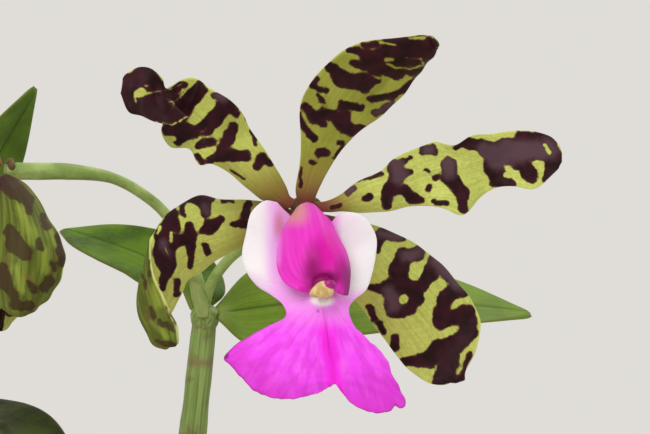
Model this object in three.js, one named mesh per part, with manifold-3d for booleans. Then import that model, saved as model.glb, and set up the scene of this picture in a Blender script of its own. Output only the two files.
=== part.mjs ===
// A potted spotted orchid: two blooms on one flower stem, seven fleshy leaves on four
// slender pseudobulbs, a creeping rhizome with roots, and bark in a plain clay pot.
// Millimetres, +Z up, the origin in the middle of the pot's flat foot.
import * as THREE from "three";
import { mergeVertices } from "three/addons/utils/BufferGeometryUtils.js";
import Module from "manifold-3d";

const wasm = await Module();
wasm.setup();

// Driving dimensions of the pot and the bark
const POT_HEIGHT = 96;
const POT_RIM_RADIUS = 54;
const POT_BASE_RADIUS = 35;
const POT_WALL = 5;
const POT_FLOOR = 7;
const RIM_BAND_HEIGHT = 20;
const RIM_BAND_STEP = 3;
const RIM_BAND_CHAMFER = 2;
const FOOT_BEVEL = 1.5;
const RIM_BEVEL = { outer: 2, inner: 1.5 };
const DRAIN_HOLES = 3;
const DRAIN_HOLE_RADIUS = 5;
const DRAIN_HOLE_OFFSET = 22;
const LATHE_SIDES = 40;
const BARK_LEVEL = 82;
const BARK_HEADROOM = 2;
const CHIP_SIZE = new THREE.Vector3(15, 11, 7);
const CHIP_RINGS = [[1, 0], [7, 13], [12, 25], [17, 36]];
const CHIP_TILT = 0.45;
const CHIP_LEAST_CORNER = 0.65;
const SEED = 7;

// Clearance between pieces that touch
const GAP = 0.3;

// Driving dimensions of the plant
const RHIZOME_RADIUS = 4.2;
const RHIZOME_LEVEL = 88;
const NECK_RADIUS = 3.6;
const NECK_TOP = 94.5;
const ROOT_RADIUS = 1.6;
const BULB_RADIUS = 4;
const PEDICEL_RADIUS = 1.2;
const OVARY_RADIUS = 1.9;
const LEAF_THICKNESS = { middle: 1.8, edge: 0.9 };
const TEPAL_THICKNESS = { middle: 1.2, edge: 0.7 };
const LIP_THICKNESS = { middle: 1.1, edge: 0.7 };
const COLUMN_THICKNESS = { middle: 4.4, edge: 1.2 };
const SHEATH_THICKNESS = { middle: 0.8, edge: 0.7 };

// The blooms are drawn on a front elevation sheet, ruled in squares of 0.2 mm and seen
// from 400 mm away and 6 degrees above. A point on it is squares across, squares down and
// depth in mm away from the viewer.
const SQUARE = 0.2;
const SHEET_MIDDLE = { across: 325, down: 217 };
const VIEW_DISTANCE = 400;
const VIEW_TILT = THREE.MathUtils.degToRad(6);
const SHEET_PLACE = new THREE.Vector3(30, -48, 204);

// Where the segments of a bloom meet, on the sheet, and the second bloom's place and turn
const BLOOM_SEAT = [306, 212, 4.6];
const SIDE_BLOOM_SEAT = [4, 171, 24];
const SIDE_BLOOM_TURN = THREE.MathUtils.degToRad(-66);

// Ribs of each segment from its base to its tip: left margin, midrib, right margin
const DORSAL_SEPAL = [
  [[299.5, 207, 4], [305.5, 206.5, 3.8], [312, 207, 3.7]],
  [[295.5, 190, 2.5], [306, 189, 2.5], [319, 189, 2.6]],
  [[299.5, 165, 0], [314, 163, 0.6], [331, 166, 2]],
  [[301, 140, -3], [323, 141, -1], [349, 141, 2]],
  [[299.5, 113, -5], [333, 114, -2], [366, 127, 3]],
  [[306, 90, -8], [345, 95, -4], [387, 111, 3]],
  [[319, 73, -10], [360, 77, -6], [403, 95, 1]],
  [[337, 55, -12], [378, 64, -8], [416, 78, -2]],
  [[362, 42, -12], [400, 57, -10], [425, 66, -6]],
  [[395, 38, -12], [420, 50, -11], [433, 56, -9]],
  [[424, 35, -12], [432, 44, -12], [438, 48, -11]],
  [[433, 38, -14], [437, 43, -14], [438, 47, -13]],
];
const LEFT_PETAL = [
  [[288, 209, 2.2], [293, 205, 2.2], [297, 200, 2.2]],
  [[276, 205, 2], [284, 201, 1.8], [290, 196, 1.8]],
  [[262, 200, 1.5], [275, 194, 1], [286, 186, 1]],
  [[247, 188, 0], [262, 177, -2], [277, 170, -1]],
  [[229, 173, -3], [246, 160, -3], [265, 150, -3]],
  [[212, 164, -8], [231, 147, -4], [250, 129, -2]],
  [[199, 165, -10], [217, 138, -5], [243, 114, -4]],
  [[189, 149, -5], [206, 126, -6], [229, 99, -8]],
  [[171, 147, -2], [194, 116, -5.5], [209, 88, -8]],
  [[161, 130, -1], [184, 109, -5], [199, 80, -5]],
  [[172, 118, -7], [176, 104, -7.5], [187, 78, -6]],
  [[188, 118, -10.5], [170, 101, -9.5], [175, 85, -9]],
  [[174, 125, -12], [163, 98, -10.5], [166, 88, -10]],
  [[158, 123, -14], [155, 95, -10], [161, 78, -11]],
  [[143, 116, -14], [146, 92, -11], [152, 69, -10]],
  [[130, 113, -12], [137, 90, -11], [138, 67, -9]],
  [[123, 101, -11], [130, 88, -11], [127, 74, -9]],
  [[121.5, 93, -10], [122, 87, -10], [123, 81, -9]],
];
const RIGHT_PETAL = [
  [[313, 202, 2.2], [317, 207, 2.2], [319, 212, 2.2]],
  [[326, 201, 2.2], [330, 207, 2.2], [330, 212, 2.4]],
  [[340, 195, 3], [343, 203, 2.4], [343, 211, 3]],
  [[356, 183, 4], [362, 196, 3], [362, 213, 4]],
  [[380, 171, 6], [386, 189, 4], [386, 211, 7]],
  [[395, 158, 4], [405, 182, 5], [408, 207, 8]],
  [[417, 148, 6], [425, 176, 6], [428, 206, 6]],
  [[436, 142, 9], [445, 172, 7], [446, 209, 4]],
  [[455, 146, 6], [462, 169, 8], [463, 215, 6]],
  [[472, 135, 5], [478, 165, 9], [479, 199, 10]],
  [[490, 134, 8], [497, 162, 10], [493, 189, 10]],
  [[510, 131, 12], [515, 160, 11], [515, 186, 8]],
  [[532, 131, 13], [533, 159, 12], [534, 189, 9]],
  [[549, 136, 14], [548, 158, 13], [548, 179, 12]],
  [[559, 145, 14], [557, 158, 14], [557, 170, 14]],
  [[562, 153, 14], [562, 157, 14], [562, 162, 14]],
];
const LEFT_LATERAL_SEPAL = [
  [[296, 223, 3.7], [295, 217, 3.7], [295, 211, 3.7]],
  [[272, 232, 5], [272, 217, 4.4], [272, 203, 4.4]],
  [[245, 244, 6], [247, 221, 4], [248, 200, 5]],
  [[222, 257, 6], [222, 226, 3], [220, 199, 5]],
  [[204, 270, 5], [198, 231, 1], [197, 196, 4]],
  [[190, 279, 4], [178, 239, -1], [174, 209, 2]],
  [[183, 290, 3], [163, 253, -3], [157, 227, -2]],
  [[178, 302, 3], [152, 270, -4], [150, 247, -6]],
  [[172, 312, 2], [143, 285, -4], [154, 273, -10]],
  [[168, 322, 1], [140, 300, -5], [163, 296, -12]],
  [[166, 331, 0], [142, 316, -5], [172, 314, -12]],
  [[165, 340, -2], [150, 332, -6], [178, 329, -11]],
  [[166, 346, -4], [156, 343, -7], [179, 342, -9]],
  [[168, 349, -6], [170, 347, -7.5], [176, 346, -7.5]],
];
const RIGHT_LATERAL_SEPAL = [
  [[318, 213, 3.7], [315, 218, 3.7], [311, 223, 3.7]],
  [[342, 218, 7], [336, 232, 6], [324, 243, 7]],
  [[370, 224, 10], [357, 250, 8], [338, 270, 9]],
  [[395, 233, 13], [378, 268, 10], [351, 294, 11]],
  [[420, 247, 16], [398, 288, 12], [365, 313, 13]],
  [[440, 263, 18], [415, 308, 13], [381, 335, 14]],
  [[459, 284, 19], [431, 328, 14], [394, 352, 14]],
  [[473, 303, 18], [443, 346, 14], [406, 367, 13]],
  [[481, 325, 15], [452, 360, 13], [420, 378, 12]],
  [[475, 350, 12], [456, 371, 12], [436, 385, 11]],
  [[466, 370, 11], [458, 378, 11], [449, 383, 11]],
  [[465, 380, 11], [462, 381.5, 11], [458, 382, 11]],
];
const LIP = [
  [[336, 216, 0], [312, 228, 2], [277, 202, -0.5]],
  [[350, 212, -2], [313, 238, 1], [264, 201, -1]],
  [[366, 219, -2], [314, 248, 0], [251, 213, -1.5]],
  [[376, 236, -1], [316, 258, -1], [246, 233, -1]],
  [[376, 254, -1], [317, 268, -3], [242, 254, -1]],
  [[372, 274, -2], [319, 278, -5], [246, 271, -2]],
  [[366, 290, -4], [321, 288, -7], [257, 286, -3]],
  [[354, 300, -7], [323, 298, -9], [271, 295, -5]],
  [[349, 308, -9], [325, 308, -10], [283, 305, -8]],
  [[350, 317, -10], [327, 320, -11], [285, 317, -9]],
  [[356, 329, -10], [329, 335, -12], [266, 327, -8]],
  [[370, 341, -10], [331, 350, -12], [243, 340, -8]],
  [[385, 357, -10], [333, 364, -12], [224, 356, -8]],
  [[393, 375, -10], [334, 370, -12], [232, 367, -8]],
  [[401, 391, -9], [334.5, 374, -12], [245, 382, -8]],
  [[406, 403, -9], [335, 378, -12], [262, 395, -8]],
  [[398, 409, -9], [335, 380, -12], [283, 399, -9]],
  [[375, 413, -10], [335, 382, -12], [305, 397, -10]],
  [[352, 404, -11], [335.5, 383.2, -12], [322, 391, -11]],
  [[340, 389, -12], [335.5, 384.5, -12], [331, 386, -12]],
];
const COLUMN = [
  [[318, 213, 0.9], [307, 211, 0], [296, 214, 0.9]],
  [[330, 222, -1.8], [308, 222, -4], [287, 224, -1.8]],
  [[335, 232, -3.5], [310, 235, -7], [281, 235, -3.5]],
  [[341, 243, -5], [312, 246, -9.4], [278, 246, -5]],
  [[346, 253, -6.5], [315, 256, -11], [277, 256, -6.5]],
  [[349, 265, -8], [319, 265, -11.6], [277, 266, -8]],
  [[350, 276, -9.5], [322, 274, -11.2], [280, 276, -9.5]],
  [[350, 285, -11], [324, 281, -10.6], [286, 284, -11]],
  [[348, 295, -12], [325, 286, -10.4], [298, 290, -12]],
];
const ANTHER_CAP = { place: [323, 291, -14.4], size: new THREE.Vector3(2.5, 1.3, 1.9) };

// The second bloom's nearest sepal hangs down with its back to the viewer
const HANGING_SEPAL = [
  [[0, 179, 20.5], [3, 177, 21], [6, 174, 22.3]],
  [[-3, 196, 14], [14, 193, 12], [29, 187, 15]],
  [[-3, 222, 8], [22, 219, 6], [50, 220, 11]],
  [[-5, 250, 5], [25, 248, 2], [64, 248, 9]],
  [[-6, 275, 3], [24, 275, 0], [63, 272, 7]],
  [[-4, 295, 3], [22, 297, 0], [52, 294, 6]],
  [[2, 308, 3], [20, 311, 1], [38, 307, 5]],
  [[14, 314, 3], [20, 315, 3], [26, 314, 4]],
];

// Flower stalks on the sheet, from the top of the tallest pseudobulb to each bloom, and the
// places along an ovary, in mm behind the seat of its bloom
const STALK_FORK = [205, 303, 47];
const STALK_TOP = [206, 298, 46.8];
const OVARY_STATIONS = [14, 8, 3, GAP];
const FRONT_STALK = [STALK_FORK, [211, 284, 45], [230, 258, 40], [255, 240, 34], [284, 222, 27]];
const SIDE_STALK = [STALK_FORK, [192, 262, 46], [168, 217, 43], [144, 195, 39], [112, 178, 35]];

// Small helpers
let drawn = SEED;
function random(low, high) {
  drawn = (drawn * 16807) % 2147483647;
  return low + (high - low) * (drawn / 2147483647);
}

const at = (x, y, z) => new THREE.Vector3(x, y, z);

const sheet = new THREE.Group();
sheet.position.copy(SHEET_PLACE);
sheet.rotation.x = -VIEW_TILT;
sheet.updateMatrixWorld();

function onSheet([across, down, depth]) {
  const grow = SQUARE * (1 + depth / VIEW_DISTANCE);
  return at((across - SHEET_MIDDLE.across) * grow, depth, (SHEET_MIDDLE.down - down) * grow);
}

const inRoom = (point) => onSheet(point).applyMatrix4(sheet.matrixWorld);

function closedGeometry(points, triangles) {
  const geometry = new THREE.BufferGeometry().setFromPoints(points);
  geometry.setIndex(triangles.flat());
  return geometry;
}

// Booleans on closed geometries
function toSolid(geometry) {
  const bare = geometry.clone();
  bare.deleteAttribute("normal");
  bare.deleteAttribute("uv");
  const merged = mergeVertices(bare, 1e-4);
  return new wasm.Manifold(new wasm.Mesh({
    numProp: 3,
    vertProperties: new Float32Array(merged.attributes.position.array),
    triVerts: new Uint32Array(merged.index.array),
  }));
}

function toGeometry(solid) {
  const mesh = solid.getMesh();
  const geometry = new THREE.BufferGeometry();
  geometry.setAttribute("position", new THREE.BufferAttribute(mesh.vertProperties, 3));
  geometry.setIndex(new THREE.BufferAttribute(mesh.triVerts, 1));
  return geometry;
}

const joined = (geometries) => geometries.map(toSolid).reduce((all, next) => all.add(next));

// A blade between three rails, with a parabola across each rib, thickened to both sides.
// Both faces are split into triangles alike.
function bladeGeometry(ribs, thickness, stepsPerRib, acrossSteps) {
  const rails = [0, 1, 2].map(
    (side) => new THREE.CatmullRomCurve3(ribs.map((rib) => rib[side]), false, "catmullrom", 0.5),
  );
  const alongSteps = (ribs.length - 1) * stepsPerRib;
  const rows = [];
  for (let i = 0; i <= alongSteps; i += 1) {
    const [left, middle, right] = rails.map((rail) => rail.getPoint(i / alongSteps));
    const slope = right.clone().sub(left).multiplyScalar(0.5);
    const bow = right.clone().add(left).multiplyScalar(0.5).sub(middle);
    const row = [];
    for (let j = 0; j <= acrossSteps; j += 1) {
      const v = (2 * j) / acrossSteps - 1;
      row.push(middle.clone().addScaledVector(slope, v).addScaledVector(bow, v * v));
    }
    rows.push(row);
  }
  const last = { i: alongSteps, j: acrossSteps };
  const point = (i, j) => rows[THREE.MathUtils.clamp(i, 0, last.i)][THREE.MathUtils.clamp(j, 0, last.j)];
  const points = [];
  for (let i = 0; i <= last.i; i += 1) {
    for (let j = 0; j <= last.j; j += 1) {
      const along = point(i + 1, j).clone().sub(point(i - 1, j));
      const across = point(i, j + 1).clone().sub(point(i, j - 1));
      const back = along.cross(across).normalize();
      const v = Math.abs((2 * j) / acrossSteps - 1);
      const half = 0.5 * THREE.MathUtils.lerp(thickness.middle, thickness.edge, v ** 1.5);
      points.push(point(i, j).clone().addScaledVector(back, -half));
      points.push(point(i, j).clone().addScaledVector(back, half));
    }
  }
  const front = (i, j) => 2 * (i * (acrossSteps + 1) + j);
  const back = (i, j) => front(i, j) + 1;
  const triangles = [];
  const quad = (a, b, c, d) => triangles.push([a, b, c], [a, c, d]);
  for (let i = 0; i < last.i; i += 1) {
    for (let j = 0; j < last.j; j += 1) {
      quad(back(i, j), back(i + 1, j), back(i + 1, j + 1), back(i, j + 1));
      triangles.push([front(i, j), front(i + 1, j + 1), front(i + 1, j)]);
      triangles.push([front(i, j), front(i, j + 1), front(i + 1, j + 1)]);
    }
    quad(front(i, 0), front(i + 1, 0), back(i + 1, 0), back(i, 0));
    quad(front(i, last.j), back(i, last.j), back(i + 1, last.j), front(i + 1, last.j));
  }
  for (let j = 0; j < last.j; j += 1) {
    quad(front(0, j), back(0, j), back(0, j + 1), front(0, j + 1));
    quad(front(last.i, j), front(last.i, j + 1), back(last.i, j + 1), back(last.i, j));
  }
  return closedGeometry(points, triangles);
}

// A closed tube along a smooth path, with a radius given at each point of the path
function tubeGeometry(path, radii, sides, steps) {
  const curve = new THREE.CatmullRomCurve3(path);
  const points = [];
  let normal = null;
  for (let i = 0; i <= steps; i += 1) {
    const t = i / steps;
    const tangent = curve.getTangent(t);
    if (normal === null) {
      normal = Math.abs(tangent.z) < 0.9 ? at(0, 0, 1) : at(1, 0, 0);
    }
    normal.addScaledVector(tangent, -normal.dot(tangent)).normalize();
    const binormal = tangent.clone().cross(normal);
    const place = t * (radii.length - 1);
    const from = Math.min(Math.floor(place), radii.length - 2);
    const radius = THREE.MathUtils.lerp(radii[from], radii[from + 1], place - from);
    for (let j = 0; j < sides; j += 1) {
      const angle = (2 * Math.PI * j) / sides;
      points.push(curve.getPoint(t)
        .addScaledVector(normal, radius * Math.cos(angle))
        .addScaledVector(binormal, radius * Math.sin(angle)));
    }
  }
  const triangles = [];
  for (let j = 0; j < sides; j += 1) {
    const next = (j + 1) % sides;
    for (let i = 0; i < steps; i += 1) {
      const here = i * sides;
      triangles.push([here + j, here + next, here + sides + next]);
      triangles.push([here + j, here + sides + next, here + sides + j]);
    }
    if (j > 0 && next > 0) {
      const end = steps * sides;
      triangles.push([0, next, j]);
      triangles.push([end, end + j, end + next]);
    }
  }
  return closedGeometry(points, triangles);
}

// Colours and finishes
const finish = (color, roughness) => new THREE.MeshStandardMaterial({ color, roughness, metalness: 0 });
const FINISH = {
  pot: finish(0xb5673f, 0.85),
  bark: finish(0x6b4a34, 0.9),
  root: finish(0xc9c7b4, 0.8),
  bulb: finish(0x7c9450, 0.55),
  leaf: finish(0x557d2d, 0.4),
  sheath: finish(0x9fb07a, 0.6),
  stalk: finish(0x8fb060, 0.5),
  tepal: finish(0xa9b04a, 0.35),
  lip: finish(0xe84fd8, 0.5),
  column: finish(0xd81fa6, 0.4),
  anther: finish(0xe0c27a, 0.5),
};

const plant = new THREE.Group();

function addPiece(group, name, geometry, material) {
  const mesh = new THREE.Mesh(geometry, material);
  mesh.name = name;
  group.add(mesh);
  return mesh;
}

// Pot: a turned clay wall with a rim band, and three drain holes beside the middle
const slope = (POT_RIM_RADIUS - RIM_BAND_STEP - POT_BASE_RADIUS) / POT_HEIGHT;
const wallRadius = (z) => POT_BASE_RADIUS + slope * z;
const innerRadius = (z) => wallRadius(z) - POT_WALL;

function makePot() {
  const bandFoot = POT_HEIGHT - RIM_BAND_HEIGHT;
  const wallTop = bandFoot - RIM_BAND_CHAMFER;
  const bevelFoot = POT_HEIGHT - RIM_BEVEL.outer;
  const profile = [
    [0, 0], [POT_BASE_RADIUS - FOOT_BEVEL, 0], [POT_BASE_RADIUS, FOOT_BEVEL],
    [wallRadius(wallTop), wallTop], [wallRadius(bandFoot) + RIM_BAND_STEP, bandFoot],
    [POT_RIM_RADIUS, bevelFoot], [POT_RIM_RADIUS - RIM_BEVEL.outer, POT_HEIGHT],
    [innerRadius(POT_HEIGHT) + RIM_BEVEL.inner, POT_HEIGHT], [innerRadius(bevelFoot), bevelFoot],
    [innerRadius(POT_FLOOR), POT_FLOOR], [0, POT_FLOOR],
  ].map(([radius, z]) => new THREE.Vector2(radius, z));
  let solid = toSolid(new THREE.LatheGeometry(profile, LATHE_SIDES).rotateX(Math.PI / 2));
  for (let hole = 0; hole < DRAIN_HOLES; hole += 1) {
    const angle = Math.PI / 2 + (hole * 2 * Math.PI) / DRAIN_HOLES;
    const drill = new THREE.CylinderGeometry(DRAIN_HOLE_RADIUS, DRAIN_HOLE_RADIUS, 3 * POT_FLOOR, 16)
      .rotateX(Math.PI / 2)
      .translate(DRAIN_HOLE_OFFSET * Math.cos(angle), DRAIN_HOLE_OFFSET * Math.sin(angle), 0);
    solid = solid.subtract(toSolid(drill));
  }
  return toGeometry(solid);
}

// Rhizome and roots: the rhizome creeps over the bark, and its necks carry the pseudobulbs
const onBark = (x, y, z = RHIZOME_LEVEL) => at(x, y, z);
const RHIZOME_PATH = [onBark(31, 28), onBark(26, 24), onBark(12, 15), onBark(-6, 4), onBark(-20, -9),
  onBark(-28, -24), onBark(-30, -31)];
const RHIZOME_RADII = [0.6, 1, 1.05, 1, 1, 0.95, 0.5].map((share) => share * RHIZOME_RADIUS);
const NECKS = {
  bulb_a: { place: at(-8, 2.6, 0), lean: at(1, -0.5, 6) },
  bulb_b: { place: at(-22, -11.5, 0), lean: at(-2.5, 0, 6) },
  bulb_c: { place: at(12, 15, 0), lean: at(0.5, 0.8, 6) },
  bulb_d: { place: at(27, 24.7, 0), lean: at(1, -0.6, 6) },
  new_shoot: { place: at(-28.5, -26, 0), lean: at(-0.5, -1, 6) },
};
const ROOTS = [
  [at(-4, 5, 87), at(-9, 14, 88), at(-16, 22, 89), at(-24, 26, 87), at(-30, 23, 82), at(-30, 20, 68)],
  [at(-2, 5, 86), at(2, -8, 88), at(9, -18, 90), at(19, -24, 90), at(27, -25, 86), at(28, -25, 74)],
  [at(18, 18, 86), at(24, 10, 88), at(32, 5, 90), at(37, 3, 86), at(37, 2, 74)],
  [at(8, 13, 86), at(6, 24, 88), at(2, 32, 89), at(1, 37, 85), at(1, 36, 72)],
  [at(-25, -16, 86), at(-32, -12, 88), at(-36, -4, 88), at(-37, 3, 83), at(-36, 7, 70)],
  [at(-26, -20, 86), at(-18, -27, 88), at(-8, -32, 89), at(2, -36, 86), at(6, -35, 72)],
];
const ROOT_SHARES = [0.9, 1, 1, 0.95, 0.9, 0.7];

function neckTube(neck, grow) {
  const foot = neck.place.clone().setZ(RHIZOME_LEVEL);
  const lean = neck.lean.clone().multiplyScalar((NECK_TOP - RHIZOME_LEVEL) / neck.lean.z);
  const radius = NECK_RADIUS + grow;
  return tubeGeometry([foot, foot.clone().add(lean)], [radius, radius], 10, 1);
}

function lengthened(path, extra) {
  const pushed = (end, inner) => end.clone().addScaledVector(end.clone().sub(inner).normalize(), extra);
  return [pushed(path[0], path[1]), ...path.slice(1, -1), pushed(path.at(-1), path.at(-2))];
}

function rhizomeParts(grow) {
  const radii = RHIZOME_RADII.map((radius) => radius + grow);
  const body = tubeGeometry(lengthened(RHIZOME_PATH, grow), radii, 9, 16);
  const necks = Object.values(NECKS).map((neck) => neckTube(neck, grow));
  const roots = ROOTS.map((path) => tubeGeometry(lengthened(path, grow),
    ROOT_SHARES.slice(0, path.length).map((share) => share * ROOT_RADIUS + grow), 5, 10));
  return [body, ...necks, ...roots];
}

// Bark: chips sunk in a bed that fills the pot, cut clear of the rhizome and the roots
function chipGeometry(place) {
  const chip = new THREE.BoxGeometry(CHIP_SIZE.x, CHIP_SIZE.y, CHIP_SIZE.z);
  const corners = chip.attributes.position;
  const shrink = [];
  for (let corner = 0; corner < 8; corner += 1) {
    shrink.push(random(CHIP_LEAST_CORNER, 1));
  }
  for (let i = 0; i < corners.count; i += 1) {
    const point = at(corners.getX(i), corners.getY(i), corners.getZ(i));
    const corner = (point.x > 0 ? 1 : 0) + (point.y > 0 ? 2 : 0) + (point.z > 0 ? 4 : 0);
    point.multiplyScalar(shrink[corner]);
    corners.setXYZ(i, point.x, point.y, point.z);
  }
  chip.rotateX(random(-CHIP_TILT, CHIP_TILT)).rotateY(random(-CHIP_TILT, CHIP_TILT))
    .rotateZ(random(0, Math.PI));
  return chip.translate(place.x, place.y, place.z);
}

function makeBark() {
  const floor = POT_FLOOR + GAP;
  const shell = (top) => new THREE.LatheGeometry([
    new THREE.Vector2(0, floor), new THREE.Vector2(innerRadius(floor) - GAP, floor),
    new THREE.Vector2(innerRadius(top) - GAP, top), new THREE.Vector2(0, top),
  ], LATHE_SIDES).rotateX(Math.PI / 2);
  const chips = [];
  for (const [count, radius] of CHIP_RINGS) {
    for (let i = 0; i < count; i += 1) {
      const angle = (2 * Math.PI * (i + random(-0.2, 0.2))) / count;
      chips.push(chipGeometry(at(radius * Math.cos(angle), radius * Math.sin(angle),
        BARK_LEVEL + random(0.2, 2))));
    }
  }
  const bed = joined([shell(BARK_LEVEL), ...chips]).intersect(toSolid(shell(POT_HEIGHT - BARK_HEADROOM)));
  return toGeometry(bed.subtract(joined(rhizomeParts(GAP))));
}

// Pseudobulbs: slender jointed stems that swell a little above the foot
const BULB_SWELL = [0.85, 1, 1.02, 0.95, 0.85, 0.74, 0.68];
const LEAF_SEAT_OFFSET = 2.8;

function bulbPath(neck, way) {
  const foot = neck.place.clone().setZ(RHIZOME_LEVEL)
    .addScaledVector(neck.lean, (NECK_TOP + GAP - RHIZOME_LEVEL) / neck.lean.z);
  return [foot, foot.clone().add(neck.lean), ...way];
}

const BULBS = {
  a: bulbPath(NECKS.bulb_a, [at(-3.5, 0, 120), at(0, -2.6, 148), inRoom([205, 318, 46.5])]),
  b: bulbPath(NECKS.bulb_b, [at(-36, -11, 118), at(-48, -9.5, 136), at(-56, -8, 150)]),
  c: bulbPath(NECKS.bulb_c, [at(14.5, 19, 106), at(15.5, 21.5, 113), at(16, 23, 119)]),
  d: bulbPath(NECKS.bulb_d, [at(30.5, 23, 106), at(33, 22, 112), at(35, 21, 117)]),
};

// Leaves: thick, elliptic and gently keeled, each rising from the top of its pseudobulb. A
// leaf's foot clasps the bulb, and over the first part of its length it turns to face up.
const LEAF_RIBS = 6;
const LEAF_STUB = { out: 0.7, rise: 4.5 };
const LEAF_TURN_END = 0.3;
const LEAF_LEAST_HALF = 0.9;
const LEAF_FOOT_PHASE = 0.03;
const LEAF_ROUNDNESS = 0.6;

function leafRibs({ path, width, faces, keel }) {
  const curve = new THREE.CatmullRomCurve3(path);
  const inward = path[0].clone().sub(path.at(-1)).setZ(0).normalize();
  const ribs = [];
  for (let i = 0; i <= LEAF_RIBS; i += 1) {
    const s = i / LEAF_RIBS;
    const middle = curve.getPointAt(s);
    const tangent = curve.getTangentAt(s);
    const turned = THREE.MathUtils.smoothstep(s, 0, LEAF_TURN_END);
    const up = inward.clone().lerp(faces[0].clone().lerp(faces[1], s), turned);
    const side = tangent.clone().cross(up).normalize();
    const lift = side.clone().cross(tangent);
    const swell = Math.sin(Math.PI * THREE.MathUtils.lerp(LEAF_FOOT_PHASE, 1, s));
    const half = Math.max(LEAF_LEAST_HALF, 0.5 * width * swell ** LEAF_ROUNDNESS);
    const margin = (sign) => middle.clone().addScaledVector(side, sign * half)
      .addScaledVector(lift, keel * half);
    ribs.push([margin(-1), middle, margin(1)]);
  }
  return ribs;
}

// The first two points of a leaf's path: its seat on the bulb's top, then on in line with it
function leafFoot(bulb, direction, clearance = 3 * GAP) {
  const top = bulb.at(-1);
  const rise = top.clone().sub(bulb.at(-2)).normalize();
  const out = direction.clone().addScaledVector(rise, -direction.dot(rise)).normalize();
  const seat = top.clone().addScaledVector(out, LEAF_SEAT_OFFSET).addScaledVector(rise, clearance);
  const stub = seat.clone().addScaledVector(out, LEAF_STUB.out).addScaledVector(rise, LEAF_STUB.rise);
  return [seat, stub];
}

const LEAVES = {
  leaf_a1: {
    path: [...leafFoot(BULBS.a, at(-0.7, 1, 0), 4 * GAP), inRoom([182, 281, 62]), inRoom([150, 261, 67]),
      inRoom([100, 242, 76]), inRoom([62, 231, 84])],
    width: 20, faces: [at(0.2, -0.6, 0.8), at(0.1, -0.4, 0.9)], keel: 0.2,
  },
  leaf_a2: {
    path: [...leafFoot(BULBS.a, at(1, -0.3, 0), 4 * GAP), inRoom([250, 311, 51]), inRoom([330, 300, 52]),
      inRoom([430, 303, 57]), inRoom([531, 315, 62])],
    width: 27, faces: [at(0, -0.8, 0.6), at(0, -0.25, 0.95)], keel: 0.15,
  },
  leaf_b1: {
    path: [...leafFoot(BULBS.b, at(-1, 1, 0)), at(-60, 4, 178), at(-51, 16, 203), at(-38, 24, 227)],
    width: 24, faces: [at(1, -0.2, 0.1), at(1, -0.5, 0.1)], keel: 0.15,
  },
  leaf_b2: {
    path: [...leafFoot(BULBS.b, at(1, -1, 0)), at(-45, -21, 157), at(-34, -33, 153), at(-22, -44, 140)],
    width: 24, faces: [at(-0.1, 0.1, 1), at(0, 0, 1)], keel: 0.2,
  },
  leaf_c1: {
    path: [...leafFoot(BULBS.c, at(1, 0.1, 0)), at(37, 29, 130), at(54, 34, 128), at(71, 38, 117)],
    width: 27, faces: [at(-0.1, -0.2, 1), at(0, -0.1, 1)], keel: 0.15,
  },
  leaf_c2: {
    path: [...leafFoot(BULBS.c, at(-1, 0.6, 0)), at(-3, 37, 131), at(-14, 52, 129), at(-25, 68, 118)],
    width: 25, faces: [at(0, -0.2, 1), at(0, -0.1, 1)], keel: 0.15,
  },
  leaf_d1: {
    path: [...leafFoot(BULBS.d, at(1, -0.6, 0)), at(52, 10, 125), at(64, 3, 122), at(77, -5, 111)],
    width: 22, faces: [at(-0.2, 0.1, 1), at(0, 0, 1)], keel: 0.15,
  },
};

// New shoot: a short pointed growth at the leading end of the rhizome
const NEW_SHOOT_RADII = [3, 2.6, 0.7];

function makeNewShoot() {
  const path = bulbPath(NECKS.new_shoot, [at(-29.5, -28, 102), at(-30.5, -30, 112)]);
  return tubeGeometry(path, NEW_SHOOT_RADII, 10, 6);
}

// Floral sheath: a small pointed bract beside the flower stalk
const FLORAL_SHEATH = [
  [[198, 317, 43.3], [203, 318, 42.8], [208, 317, 43.3]],
  [[194, 305, 43.6], [201, 305, 42.7], [208, 305, 43.6]],
  [[191, 292, 43.6], [197, 291, 42.7], [203, 292, 43.6]],
  [[190, 280, 43], [193, 279, 42.7], [196, 280, 43]],
];

// One bloom: five tepals, the lip, the column and the anther cap, round the seat
const TEPALS = {
  dorsal_sepal: DORSAL_SEPAL,
  petal_left: LEFT_PETAL,
  petal_right: RIGHT_PETAL,
  lateral_sepal_left: LEFT_LATERAL_SEPAL,
  lateral_sepal_right: RIGHT_LATERAL_SEPAL,
};

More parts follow.
